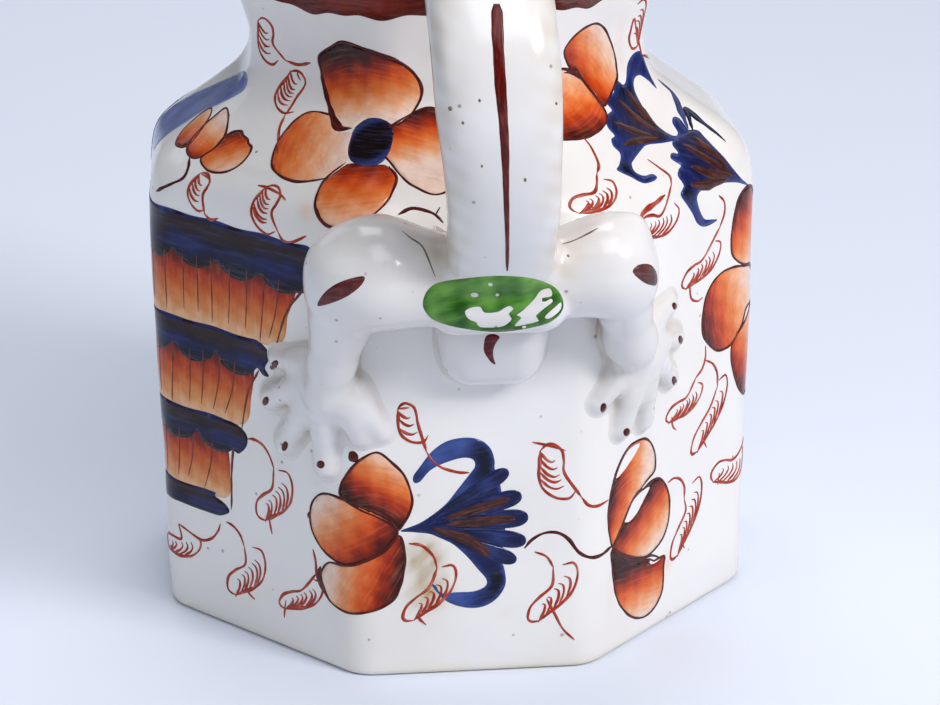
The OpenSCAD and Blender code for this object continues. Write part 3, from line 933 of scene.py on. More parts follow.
RUST = srgb(166, 50, 24)
MAROON = srgb(76, 18, 16)
INK = srgb(20, 22, 54)
VEIN = srgb(66, 34, 30)


def stops(t, table):
    t = np.clip(t, 0, 1)
    at = [s[0] for s in table]
    cols = np.array([srgb(*s[1]) for s in table])
    return np.stack([np.interp(t, at, cols[:, k]) for k in range(3)], -1)


PETAL = [(0, (44, 10, 6)), (0.13, (82, 18, 8)), (0.27, (154, 40, 10)), (0.42, (208, 80, 22)),
    (0.60, (226, 124, 62)), (0.80, (236, 172, 130)), (1, (238, 212, 196))]
PANEL = [(0, (234, 188, 146)), (0.18, (222, 150, 94)), (0.45, (206, 102, 42)), (0.68, (182, 58, 16)),
    (0.84, (118, 26, 10)), (1, (84, 18, 12))]
BAND = [(0, (12, 10, 18)), (0.22, (14, 12, 24)), (0.40, (20, 28, 78)), (0.56, (12, 14, 38)),
    (0.66, (40, 24, 26)), (0.88, (46, 27, 29)), (0.95, (22, 26, 66)), (1, (62, 74, 132))]


def shaded(dark, pale, table=PETAL, rough=0.05, bend=0.0):
    """Wash from the dark place to the pale place."""
    dark, pale = np.array(dark, float), np.array(pale, float)
    way = pale - dark
    length = np.linalg.norm(way)

    def colour(u, v):
        du, dv = u - dark[0], v - dark[1]
        t = (du * way[0] + dv * way[1]) / length ** 2
        side = (-du * way[1] + dv * way[0]) / length ** 2
        return stops(t + bend * side * side + rough * wobble(u, v, dark[0]), table)
    return colour


def petal(place, outline, dark, pale, line=0.4, bare=(), around=None, along=None, bend=0.0, edge=None):
    if along is None:
        along = math.degrees(math.atan2(pale[1] - dark[1], pale[0] - dark[0])) + 90
    washes.film(place, outline, shaded(dark, pale, bend=bend), bare=bare, along=along, around=around)
    if edge is None:
        darks.ribbon(place, outline, line, MAROON, closed=True)
    else:
        for pts, width in edge:
            darks.ribbon(place, pts, width, MAROON)


SPRAY_WEIGHT = 0.46


def spray(place, tip, head, side, width, stem=None, tail=None, count=5):
    """A leaf of the fine red sprays: one smooth side, a hatched side, a stem and a small tail."""
    tip, head = np.array(tip, float), np.array(head, float)
    ex = head - tip
    length = np.linalg.norm(ex)
    ex /= length
    ey = side * np.array([-ex[1], ex[0]])

    def at(pts):
        return [tip + ex * x * length + ey * y * width for x, y in pts]

    smooth_side = [(0.54, 0.14), (0.27, 0.22), (0.05, 0.24), (-0.12, 0.04), (-0.14, -0.18),
        (-0.06, -0.38)]
    start = at([(0.98, 0.40), (0.80, 0.24)]) if stem is None else [stem[-2]]
    lines.ribbon(place, start + at(smooth_side), SPRAY_WEIGHT, RUST)
    lines.ribbon(place, at([(0.92, 0.36), (1.05, 0.06), (0.95, -0.34), (0.70, -0.62), (0.42, -0.63),
        (0.18, -0.50), (-0.05, -0.39)]), [0.34, 0.42, 0.40, 0.44, 0.52, 0.62, 0.45], RUST)
    for k in range(count):
        f = (k + 0.5) / count
        x = 0.86 - 0.72 * f + rng.uniform(-0.02, 0.02)
        low = np.interp(x - 0.30, [-0.1, 0.18, 0.42, 0.7], [-0.40, -0.50, -0.62, -0.62])
        lines.ribbon(place, at([(x, 0.02 - 0.06 * f), (x + 0.02, 0.35 * low), (x - 0.08, 0.72 * low),
            (x - 0.28, low)]), [0.30, 0.42, 0.46, 0.40], RUST * rng.uniform(0.85, 1.15))
    if stem is not None and len(stem) > 2:
        lines.ribbon(place, stem[:-1], SPRAY_WEIGHT, RUST)
    if tail is not None:
        lines.ribbon(place, tail, SPRAY_WEIGHT * 0.9, RUST)


# --- motifs, drawn where they sit on the jug -------------------------------------------------
def lower_flower(p):
    """Three orange petals meeting at one point."""
    petal(p, [(-10.2, 21.8), (-11.3, 22.8), (-13, 23.9), (-15, 24.8), (-17, 25.8), (-18.2, 26.6),
        (-17.9, 28.2), (-17.2, 29.4), (-16, 31), (-15, 32), (-13.5, 33), (-12.3, 33), (-10.7, 31.5),
        (-9.2, 29.7), (-8.3, 27), (-8.3, 25), (-9.3, 22.8)], (-16, 26), (-11.5, 33), 0.42, around=(-14,
        20))
    petal(p, [(-10.2, 21.5), (-11, 23), (-13, 24.5), (-16, 25.6), (-18, 26), (-20.5, 26), (-22.1, 25.3),
        (-23.1, 24), (-23.5, 22.5), (-23.5, 21), (-23.1, 19.5), (-21.8, 17.8), (-20.1, 16.8), (-18, 16.4),
        (-16, 16.9), (-14, 17.8), (-12, 19), (-10.7, 20.5)], (-12.5, 17.2), (-21, 25), 0.42, along=28,
        bend=-0.2)
    petal(p, [(-9.8, 20.8), (-9.4, 19), (-9.3, 17), (-9.6, 15), (-10, 13.5), (-11, 11.5), (-13, 10.2),
        (-16, 9.4), (-18, 9.3), (-20, 9.8), (-21.3, 11), (-22, 13), (-21.6, 14.6), (-20.3, 15.9),
        (-18, 16.2), (-16, 16.7), (-14, 17.6), (-12, 18.8), (-10.5, 20.6)], (-10.2, 12.2), (-20, 15),
        0.42, along=60)
    darks.ribbon(p, [(-22, 14.8), (-22.3, 13.2), (-21.6, 11.6), (-20.4, 10)], [0.6, 1.4, 1.1, 0.4],
        MAROON)
    darks.film(p, [(-16.6, 31.8), (-15.5, 31.7), (-15.2, 32.5), (-15.7, 33.2), (-16.5, 33)], lambda u,
        v: stops(0.1 + 0 * u, PETAL), lift=0.09)
    darks.film(p, [(-24.1, 21.8), (-23.3, 21.3), (-23.2, 22), (-23.6, 22.6)], lambda u,
        v: stops(0.1 + 0 * u, PETAL), lift=0.09)


def inked(spots, base=(26, 40, 96), rough=0.22):
    """Blue wash with soft darker or browner pools: (u, v, radius, colour)."""
    def colour(u, v):
        t = 0.5 + rough * wobble(0.5 * u, 0.5 * v, spots[0][0])
        rgb = stops(t, [(0, tuple(0.72 * c for c in base)), (1, tuple(min(255, 1.22 * c) for c in base))])
        for x, y, r, c in spots:
            g = np.exp(-((u - x) ** 2 + (v - y) ** 2) / r ** 2)[:, None]
            rgb = rgb * (1 - g) + srgb(*c) * g
        return rgb
    return colour


JET, NAVY, SKY = (8, 9, 20), (18, 22, 62), (62, 84, 152)


def lobe(p, root, tip, width, brown=True):
    """One finger of a fan leaf: a navy stroke with a round end and a brown streak along its middle."""
    root, tip = np.array(root, float), np.array(tip, float)
    way = tip - root
    length = np.linalg.norm(way)
    way /= length
    side = np.array([-way[1], way[0]])
    half = [root] + [root + way * x * length + side * y * width for x, y in ((0.45, 0.32), (0.75, 0.5),
        (0.9, 0.48), (0.98, 0.28))]
    other = [root + way * x * length - side * y * width for x, y in ((0.98, 0.28), (0.9, 0.48),
        (0.75, 0.5), (0.45, 0.32))]
    middle = root * 0.25 + tip * 0.75
    blues.film(p, half + [tip] + other, inked([(*middle, 0.5 * width, (40, 54, 112)),
        (*(root * 0.6 + tip * 0.4), 1.6, JET)], base=NAVY), lift=0.075, step=0.5,
        along=math.degrees(math.atan2(way[1], way[0])), stretch=(3.0, 0.6), halo=(26, 40, 96), rim=0.064)
    if brown:
        darks.ribbon(p, [root * 0.75 + tip * 0.25, root * 0.5 + tip * 0.5, root * 0.12 + tip * 0.88],
            [0.8, 2.3, 1.7], VEIN, lift=0.1, rough=0.3)


def lower_fan(p):
    outline = [(-9.8, 21.7), (-7, 22.8), (-4, 25), (-2, 27.5), (-0.5, 29.5), (0.2, 30.6), (-0.1, 31.6),
        (-1.5, 31.9), (-4, 31.2), (-5.8, 30.2), (-7.1, 28.7), (-7.9, 28.6), (-8, 29.5), (-7, 31),
        (-5.5, 33), (-3.5, 34.4), (-1, 34.8), (1, 34.3), (2.3, 33), (2.8, 31.3), (2.8, 30.2), (3.4, 28.4),
        (3.8, 26), (4.2, 22.3), (4, 19), (3.6, 17), (4.1, 15.2), (4.2, 13), (3, 11), (1, 9.9), (-1.5, 10),
        (-4, 11.2), (-5.8, 13.6), (-5.2, 13.4), (-4.5, 12.3), (-2.5, 12.3), (0, 12.3), (1.5, 13),
        (1.6, 14), (0.5, 15.5), (-1, 17.5), (-3, 19.5), (-5.5, 20.9), (-8, 21.4)]
    blues.film(p, outline, inked([(1.3, 32.6, 2.2, JET), (1.6, 30, 1.6, JET), (3.2, 14.2, 1.9, JET),
        (2.6, 12.3, 1.4, JET), (-8.8, 21.8, 2.2, JET), (-7.8, 29.2, 0.8, NAVY), (-5.2, 32.6, 2.6, SKY),
        (-1.8, 34, 1.6, SKY), (-1.5, 27.6, 1.5, SKY), (-2.6, 11.6, 2.4, SKY), (-2.0, 18.6, 1.2,
        (40, 58, 124)), (2, 26, 3, NAVY), (2.4, 19, 3, NAVY), (0, 22.3, 3.4, NAVY), (-4, 22.3, 2.0,
        JET)]), along=10, lift=0.06, stretch=(3.0, 0.7), halo=(54, 80, 150))
    for tip, width, brown in (((4.6, 29.8), 2.2, False), ((6.4, 26.1), 2.5, True), ((7.3, 22.8), 2.6,
            True), ((7.0, 19.2), 2.4, False), ((5.7, 16.4), 2.1, False)):
        lobe(p, (-7.4, 22.1), tip, width, brown)
    darks.ribbon(p, [(-5.6, 21.8), (-1, 20.0), (2.2, 17.4)], [0.8, 2.4, 1.6], VEIN, lift=0.1, rough=0.3)


def front_sprays(p):
    spray(p, (-8.6, 39.4), (-6.9, 34.6), 1, 3.3, stem=[(-0.6, 29.7), (-2, 29.8), (-4, 30.5), (-5.3, 31.5),
        (-6.2, 33), (-6.1, 35)], count=3)
    lines.ribbon(p, [(-9.9, 39.3), (-8.4, 39.4)], 0.4, RUST)
    spray(p, (-8.9, 9.6), (-3, 15.8), 1, 3.4, stem=[(-8.7, 19.8), (-7, 19.4), (-5.5, 17.8), (-5, 16),
        (-6, 14.3)], tail=[(-7.6, 9.8), (-7.5, 8.6), (-6.6, 7.6)])
    spray(p, (10.6, 32.4), (12.4, 25.6), 1, 4.4, stem=[(19.2, 23.7), (17, 23.5), (15.5, 24), (14.5, 25.3),
        (14.1, 27.6)], tail=[(12.2, 32.3), (10, 33.1), (7.8, 33.7)])
    spray(p, (8.0, 8.6), (13.4, 15.2), 1, 3.6, stem=[(8.2, 17.6), (9.8, 16.8), (10.7, 15.2),
        (10.6, 13.4)], tail=[(9.8, 10.6), (10.8, 8.5), (12, 6), (13.6, 4.2)])
    darks.ribbon(p, [(6.8, 18.2), (7.8, 19.4), (9.4, 20.3), (11.2, 20.3), (12.7, 19.3), (14.2, 17.2),
        (16, 16.1), (18, 15.9), (20.2, 16.4)], [0.5, 0.5, 0.5, 0.5, 0.55, 0.6, 0.6, 0.5, 0.8], MAROON)


def big_flower(p, q):
    """Poppy-like flower on the shoulder: wide petals round a dark centre; p is one face and q the next."""
    petal(p, [(-0.1, 87.5), (2, 89), (4.5, 90.2), (7, 90.1), (10, 89.5), (13, 88.3), (15, 86.5),
        (15.9, 84.5), (15.6, 82), (14.6, 80.2), (13.2, 79.6), (11, 80.4), (9.6, 80.2), (8.6, 78.9),
        (7.3, 78.2), (6.4, 78), (5, 79), (3, 81), (1, 83.5), (0.2, 85.5)], (6.9, 89.2), (9.4, 80.2),
        around=(9, 72), edge=[([(12.8, 79.5), (14.5, 80), (15.5, 82), (15.9, 84.5), (15, 86.5),
        (13, 88.3), (10, 89.5), (7, 90.1), (4.5, 90.2), (2, 89), (-0.1, 87.5), (0.2, 85.5)], [0.35, 0.4,
        0.45, 0.5, 0.6, 0.75, 0.65, 0.5, 0.5, 0.4, 0.4, 0.5]), ([(0.2, 85.6), (1, 83.5), (3, 81), (5, 79),
        (6.5, 78.2), (8.3, 78.6)], [0.6, 0.8, 0.9, 1.3, 1.6, 0.4])])
    petal(p, [(-1.8, 76), (-1.3, 78), (-0.2, 79.4), (1.5, 79.9), (3.6, 79.9), (5, 78.9), (6.6, 77.6),
        (8.4, 77.9), (9.3, 77.5), (9.9, 75.6), (10.9, 74), (11, 72.8), (10.2, 71.2), (9.6, 70.1),
        (8.3, 69.5), (6.5, 68.8), (4.5, 68.5), (2, 68.9), (0, 70), (-1.2, 72), (-1.8, 74)], (-8.2, 71.2),
        (9.0, 76.4), around=(12, 77), bend=0.25, edge=[([(4, 79.8), (1.5, 79.9), (-0.2, 79.4), (-1.3, 78),
        (-1.8, 76), (-1.8, 74), (-1.2, 72), (0, 70), (2, 68.9), (4.5, 68.5), (6.5, 68.8), (8.3, 69.5),
        (9.7, 70.2)], [0.5, 0.4, 0.32, 0.3, 0.3, 0.3, 0.32, 0.4, 0.5, 0.55, 0.5, 0.45, 0.35])])
    petal(p, [(9.6, 70), (10.2, 71.6), (11, 72.9), (12.4, 73.3), (14, 73), (15.3, 73.4), (16.6, 73.2),
        (18.8, 71.4), (19.6, 69.2), (19.6, 67.2), (18.4, 65.2), (16.2, 63.9), (14, 63.7), (12.3, 64),
        (11, 65), (10, 66.4), (9.5, 68.2)], (13, 75.2), (14.8, 62.6), along=15,
        edge=[([(10.8, 73.2), (9.8, 71.2), (9.4, 69.2), (10, 66.4), (11, 65), (12.3, 64), (14, 63.6),
        (16.2, 63.8), (18.4, 65.1), (19.7, 67.2), (19.6, 69.2), (18.8, 71.4), (16.8, 73.2)], [0.3, 0.45,
        0.45, 0.5, 0.6, 0.65, 0.5, 0.4, 0.4, 0.4, 0.4, 0.4, 0.3])])
    petal(q, [(-10.6, 77.8), (-9.5, 79.6), (-6, 81.8), (-3.6, 82.1), (-0.5, 80), (0.5, 76), (-0.5, 71),
        (-4, 68.4), (-7, 69.8), (-8.5, 71.5), (-9.7, 73.6), (-10.7, 75.4)], (-8.2, 81.6), (-6.6, 73.5),
        along=-20)
    blues.film(p, [(8.9, 79.5), (10.3, 80.8), (12.3, 80.7), (13.9, 79.6), (15.1, 77.6), (15.8, 75.3),
        (15.4, 73.6), (14, 73), (11.9, 73.3), (10.3, 74.3), (9.3, 76), (8.8, 77.9)], lambda u,
        v: stops(np.hypot((u - 12.3) / 3.2, (v - 76.9) / 3.6), [(0, (22, 10, 10)), (0.72, (20, 10, 14)),
        (0.88, (20, 20, 46)), (1, (44, 54, 106))]), lift=0.1, step=0.45)
    darks.ribbon(q, [(-9.3, 65.7), (-7.5, 66.5), (-5.5, 66), (-4.5, 65.4), (-3.6, 64.4)], 0.5, MAROON)
    darks.ribbon(q, [(-4.6, 65.4), (-3.9, 66.5)], 0.45, MAROON)


BANDS_REACH = -31.0


def left_bands(p):
    """Dark blue bars with scalloped lower edges and orange panels hanging between them."""
    bars = [  # right end, top edge, lower edge at the middle, right end shape
        (10.5, 60.4, 53.6, [(10.5, 60.2), (10.6, 57), (9.6, 54.2), (8.6, 53.7)]),
        (1.2, 45.1, 39.8, [(1.2, 44.8), (2.3, 43.9), (2.1, 42.6), (1.4, 41.4), (2.1, 40.4), (1.0, 40.3)]),
        (-3, 32.0, 27.4, [(-3.4, 31.4), (-2.4, 30.4), (-2.7, 28.9), (-4.2, 27.5)]),
        (-7.5, 20.1, 16.7, [(-9.5, 19.6), (-7.6, 18.9), (-6.8, 17.9), (-8.2, 17)])]
    for k, (end, top, low, cap) in enumerate(bars):
        left = BANDS_REACH + 2.5 * k + 1.5
        us = np.arange(cap[-1][0] - 1.0, left, -1.0)
        dip = 2.3 if k < 3 else 0.15
        lower = [(u, low + 0.75 * dip - dip * abs(math.sin((u - end) * math.pi / 8.2 + 0.4)) ** 0.6)
            for u in us]
        upper = [(u, top + 0.12 * math.sin(u * 0.7 + k)) for u in us[::-1]]
        outline = cap + lower + [(left - 0.8, (top + low) / 2)] + upper

        def colour(u, v, low=low, top=top, k=k):
            t = (v - low + 0.6) / (top - low + 0.6) + 0.05 * wobble(0.5 * u, v, k)
            rgb = stops(t, BAND)
            blue = np.clip(np.sin(u * 0.38 + k * 1.9) * 1.6, 0, 1)[:, None] * np.clip(1
                - np.abs(t - 0.45) / 0.3, 0, 1)[:, None]
            return rgb * (1 - 0.5 * blue) + srgb(34, 46, 112) * 0.5 * blue
        blues.film(p, outline, colour, lift=0.075, along=0, stretch=(7.0, 0.7), rim=0.058)
    panels = [(55.3, 45.2, 7.4, 3.4, 9.2, 3.6), (41.6, 32.0, -1.2, -3.4, 0.2, -3.4), (29.0, 20.0, -6.8,
        -7.2, -5.2, -6.4)]
    for k, (top, low, r1, r0, l1, l0) in enumerate(panels):
        left = BANDS_REACH + 2.5 * k + 4
        outline = [(r1, top), (r1 + 0.5, top - 1.2), ((r1 + r0) / 2 + 0.9, (top + low) / 2), (r0, low),
            ((r0 + left) / 2, low - 0.2), (left, low), (left - 0.4, (top + low) / 2), (left, top),
            ((r1 + left) / 2, top + 0.2)]
        washes.film(p, outline, shaded((0, low), (0, top), PANEL, 0.06), along=90, stretch=(4.0, 0.6),
            lift=0.045)
        n = int((r1 - left) / 3.1)
        for j in range(n):
            u = r1 - 2.6 - 3.1 * j + rng.uniform(-0.5, 0.5)
            lean = 2.2 * math.exp(-j / 2.2) + rng.uniform(-0.2, 0.3)
            darks.ribbon(p, [(u, top - rng.uniform(0, 0.8)), (u - 0.35 * lean, (top + low) / 2),
                (u - lean, low + rng.uniform(0, 1.5))], [0.42, 0.34, 0.22], srgb(116, 52, 38))
        darks.ribbon(p, [(l1, top - 0.8), ((l1 + l0) / 2 - 0.5 * (k < 2), (top + low) / 2),
            (l0, low - 0.6 - (k == 2))], [0.5, 0.45, 0.35], srgb(110, 46, 36))


def left_sprays(p):
    spray(p, (-0.6, 20.2), (5, 26.6), 1, 4.4, stem=[(-2.3, 30.2), (-1, 30.4), (0.5, 30), (1.7, 28.8),
        (2.5, 27.2), (2.3, 25.6)], tail=[(1.2, 20.8), (1.2, 18.7), (1.5, 17)], count=6)
    spray(p, (-6.9, 6.9), (-0.9, 13.2), 1, 4.4, stem=[(-7.5, 16.2), (-6, 15.8), (-4.8, 14.8),
        (-4.1, 13.2), (-4.3, 11.8)], tail=[(-4.3, 7.4), (-3.4, 6.3), (-2.4, 5.8)], count=6)
    spray(p, (-20.5, 9.6), (-13, 11.4), 1, 3.4, stem=[(-8.7, 15.5), (-9.3, 14.2), (-10.5, 12.8),
        (-12.5, 12), (-15, 12.6), (-17, 13.2), (-19.5, 12.8)])
    spray(p, (3.3, 7.5), (10.3, 11.8), 1, 3.2, stem=[(9.2, 17), (9.6, 15), (9.5, 13.3), (8.6, 12.2)],
        tail=[(3.7, 7.6), (3.4, 6.2), (3.2, 4.8)], count=6)
    spray(p, (-9.2, 90.6), (-9.0, 85.2), 1, 3.8, stem=[(-1.7, 86.3), (-4, 85.7), (-6.4, 85.9),
        (-7.3, 87)], count=4)
    spray(p, (-3.6, 84), (-4.2, 78.8), 1, 4.8, stem=[(-0.5, 72), (-1.5, 73.5), (-3, 76), (-3.5, 78.2),
        (-2.2, 80.2)], tail=[(-3.4, 83.6), (-4, 84.3), (-4, 85)], count=6)
    spray(p, (3.0, 66.4), (2.6, 60.9), 1, 4.6, stem=[(9.7, 61.7), (7.5, 60.5), (5.8, 60.3), (4.9, 61.2),
        (5.2, 62.9)], tail=[(-0.2, 66.7), (1.5, 66.7), (4, 66.2), (5.2, 65.6)], count=6)
    spray(p, (-9.4, 65.8), (-10.2, 61.4), 1, 3.6, stem=[(-6.2, 60.9), (-7.6, 60.4), (-8.8, 61),
        (-8.4, 62.6)], tail=[(-8.4, 65.4), (-9.2, 66), (-10.4, 66.2)], count=4)
    petal(p, [(-12, 68.5), (-10.5, 67.2), (-8.5, 66.9), (-6.5, 67.5), (-5.2, 68.8), (-4.8, 70.5),
        (-5.2, 72), (-6.2, 72.6), (-6.8, 73.2), (-8, 73.7), (-8.7, 74.3), (-10, 73.8), (-10.8, 72.5),
        (-11, 70.5)], (-10.5, 74.5), (-6, 67.5), along=50)
    petal(p, [(-12.6, 68.4), (-11, 70.5), (-10.8, 72.8), (-11.8, 75), (-13, 76.5), (-14.3, 77),
        (-15.2, 75.5), (-16, 73), (-16, 70), (-14.5, 68.5)], (-14.5, 66), (-12.5, 75), line=0.4)
    petal(p, [(-16, 69.6), (-15.6, 72), (-16.5, 75), (-18.5, 75.6), (-20.5, 73.6), (-21, 71), (-19, 69)],
        (-15.8, 68.5), (-19.5, 75), line=0.4)
    darks.ribbon(p, [(-14, 68.2), (-13.2, 66.5), (-13.5, 65), (-15.5, 63.8), (-19, 62)], 0.5, MAROON)


def right_flower(p):
    """Three petals with bare streaks, low on the right diagonal face."""
    petal(p, [(-12, 16.2), (-12.8, 18.5), (-13.2, 21.5), (-12.9, 24), (-12, 26.5), (-10.8, 28.5),
        (-9.2, 30), (-7.6, 30.3), (-5.5, 30.1), (-4, 29), (-2.9, 27), (-2.7, 25), (-3.1, 24.2),
        (-4.4, 23.6), (-6, 22.7), (-8, 21.4), (-9.6, 19.2), (-11, 17.4)], (-12.6, 25.4), (-5, 23.2),
        around=(-8, 19), bend=0.2, line=0.42, bare=([(-11.6, 26.3), (-10.4, 28.4), (-9, 29.6),
        (-7.4, 29.9), (-6.5, 29.6), (-7.6, 28.4), (-9.8, 26.9)],))
    petal(p, [(-12, 15.9), (-11, 17.5), (-9.9, 18.9), (-8, 21.5), (-6.5, 22.6), (-5.2, 22.5),
        (-3.3, 23.1), (-1.5, 22.8), (-0.2, 21.5), (0.8, 19.5), (1, 17.5), (0.6, 15.3), (-0.6, 13.4),
        (-2.5, 12.3), (-4.5, 12), (-7, 12.8), (-9.5, 14.2)], (-7.5, 20.3), (-3, 12.8), along=30,
        line=0.42, bare=([(-9.5, 19.3), (-8, 21.2), (-6, 22.2), (-3.8, 22.3), (-5, 20.9), (-6.6, 19.4),
        (-8.3, 18.7)],))
    petal(p, [(-12.2, 15.7), (-12, 13), (-11.5, 10.5), (-11, 8.5), (-10, 6.5), (-8, 4.3), (-6, 3.1),
        (-4, 2.7), (-2, 3.3), (-0.5, 5), (-0.2, 7), (-0.2, 9), (0, 10.4), (-1, 10.6), (-2.4, 10.6),
        (-3.5, 11.2), (-5.5, 11.6), (-7.5, 12.4), (-10, 14)], (-5.5, 12), (-5, 3.2), along=-8, line=0.42,
        bare=([(-3.4, 11), (-2, 10.9), (-1, 10.4), (-2.2, 10.15), (-3.2, 10.4)],))
    darks.ribbon(p, [(-12.2, 15.9), (-10.5, 14.6), (-8, 13), (-5.5, 11.9), (-3.2, 11.7), (-1, 10.6)],
        [1.1, 0.9, 0.7, 0.6, 0.4, 0.3], MAROON, lift=0.1)


def right_sprays(p):
    spray(p, (0.2, 32), (7.5, 33.6), 1, 3.2, stem=[(8.3, 39.5), (8.4, 37.8), (7.7, 36.3), (6.2, 35.4),
        (4.6, 34.8)], tail=[(0.5, 31.4), (0.9, 29.9), (1.8, 29)], count=7)
    spray(p, (6.6, 25.4), (13.4, 33), 1, 3.8, stem=[(8.5, 37.3), (10.3, 36.2), (11.4, 34.5), (11.5, 32.5),
        (10.4, 30.8)], tail=[(8.3, 25.9), (8.8, 24.9), (9.4, 23.9)], count=6)
    spray(p, (2.2, 10.8), (8, 19.2), 1, 3.9, stem=[(0.4, 21.5), (1.8, 21.7), (3.4, 21), (4.5, 19.5),
        (4.5, 17.7), (4, 16)], tail=[(4, 12.4), (4.1, 11), (4.7, 10)], count=7)
    spray(p, (12.2, 19.4), (20.4, 18.8), 1, 4.4, stem=[(26, 23), (24, 21.5), (20.5, 21.2), (18, 20.9)],
        tail=[(13, 18.7), (12.7, 17)])
    spray(p, (-17.6, 66.2), (-10.4, 67.8), 1, 3.2, stem=[(-8.6, 75.8), (-8.7, 74), (-9.8, 71.3),
        (-11.5, 69.9), (-13.4, 69.1)], tail=[(-15.8, 66), (-15.3, 64.8), (-13.6, 63.8)], count=6)
    spray(p, (-6.9, 61), (0.8, 60.8), 1, 3.8, stem=[(-1.2, 69.2), (-0.3, 67.5), (0.7, 65.8), (0.3, 64.6),
        (-1.5, 63.7)], tail=[(-5.6, 60), (-5, 58.4), (-4.6, 57)], count=6)
    lines.ribbon(p, [(-1.5, 63.7), (-4, 63.1), (-6, 62.8), (-7.2, 62.2), (-7, 61)], [0.5, 0.9, 1.0, 0.8,
        0.5], RUST, lift=0.1)
    spray(p, (3.2, 50.7), (11, 53.4), 1, 3.4, stem=[(10.5, 60.7), (11.8, 59.5), (12, 57.8), (11, 56),
        (9.3, 55.1)], tail=[(4, 49.7), (4.5, 47.6), (6, 46.7), (7.2, 46.9)], count=6)
    spray(p, (9.2, 86.4), (10.6, 92), 1, 3.4, stem=[(20, 82), (16, 82.6), (11.4, 84.2), (9.8, 85.4)])


def side_flower(p):
    """Round petals by the edge between the right diagonal face and the right side."""
    petal(p, [(24.5, 44), (22, 42.5), (18.5, 42.2), (17.2, 40.2), (15, 38), (13, 37.6), (11, 38),
        (9.3, 39.3), (7.8, 41), (7.3, 43.2), (7.9, 46.3), (9.3, 48.2), (11.5, 49.2), (14, 49.3),
        (17, 48.8), (20.5, 47.6)], (7.2, 40.6), (19, 45), line=0.4, around=(20, 44))
    petal(p, [(24.5, 43.6), (20, 41.6), (17, 39.6), (15, 37.9), (14.8, 36), (15.5, 33.5), (17, 30.5),
        (19.4, 28.8), (22, 29.4), (24.2, 32), (25.4, 36), (25.4, 40)], (15.2, 31), (23.5, 39), line=0.4,
        along=60)
    petal(p, [(24.6, 45), (20.5, 48), (17.5, 48.9), (15.5, 50), (14.2, 51.5), (14, 54), (14.5, 57),
        (15.6, 59.4), (18, 60.2), (21, 58.8), (23.4, 55), (24.8, 50)], (15, 59), (21.5, 50), line=0.4,
        along=100)
    petal(p, [(25.2, 45), (26.2, 50), (28.6, 54.4), (32, 55.6), (35, 53), (35.4, 49.4), (32, 46.2),
        (28.6, 44.8)], (33, 54), (27, 46), line=0.4)
    petal(p, [(25.4, 43.4), (29, 43.6), (33, 42.8), (35.2, 39.6), (34.4, 35.4), (31, 33.4), (28.2, 35.4),
        (26.4, 39.6)], (33.5, 36), (26.5, 42.5), line=0.4)
    blues.film(p, [(23.6, 44.2), (24.2, 45.8), (25.6, 46.2), (26.6, 45), (26.4, 43.2), (25.2, 42.4),
        (24, 42.9)], lambda u, v: stops(np.hypot(u - 25.1, v - 44.3) / 1.8, [(0, (34, 18, 18)),
        (0.7, (30, 20, 30)), (1, (50, 60, 120))]), lift=0.1, step=0.45)


FAN_LEAF = dict(lift=0.06, stretch=(3.0, 0.7), halo=(52, 76, 152))


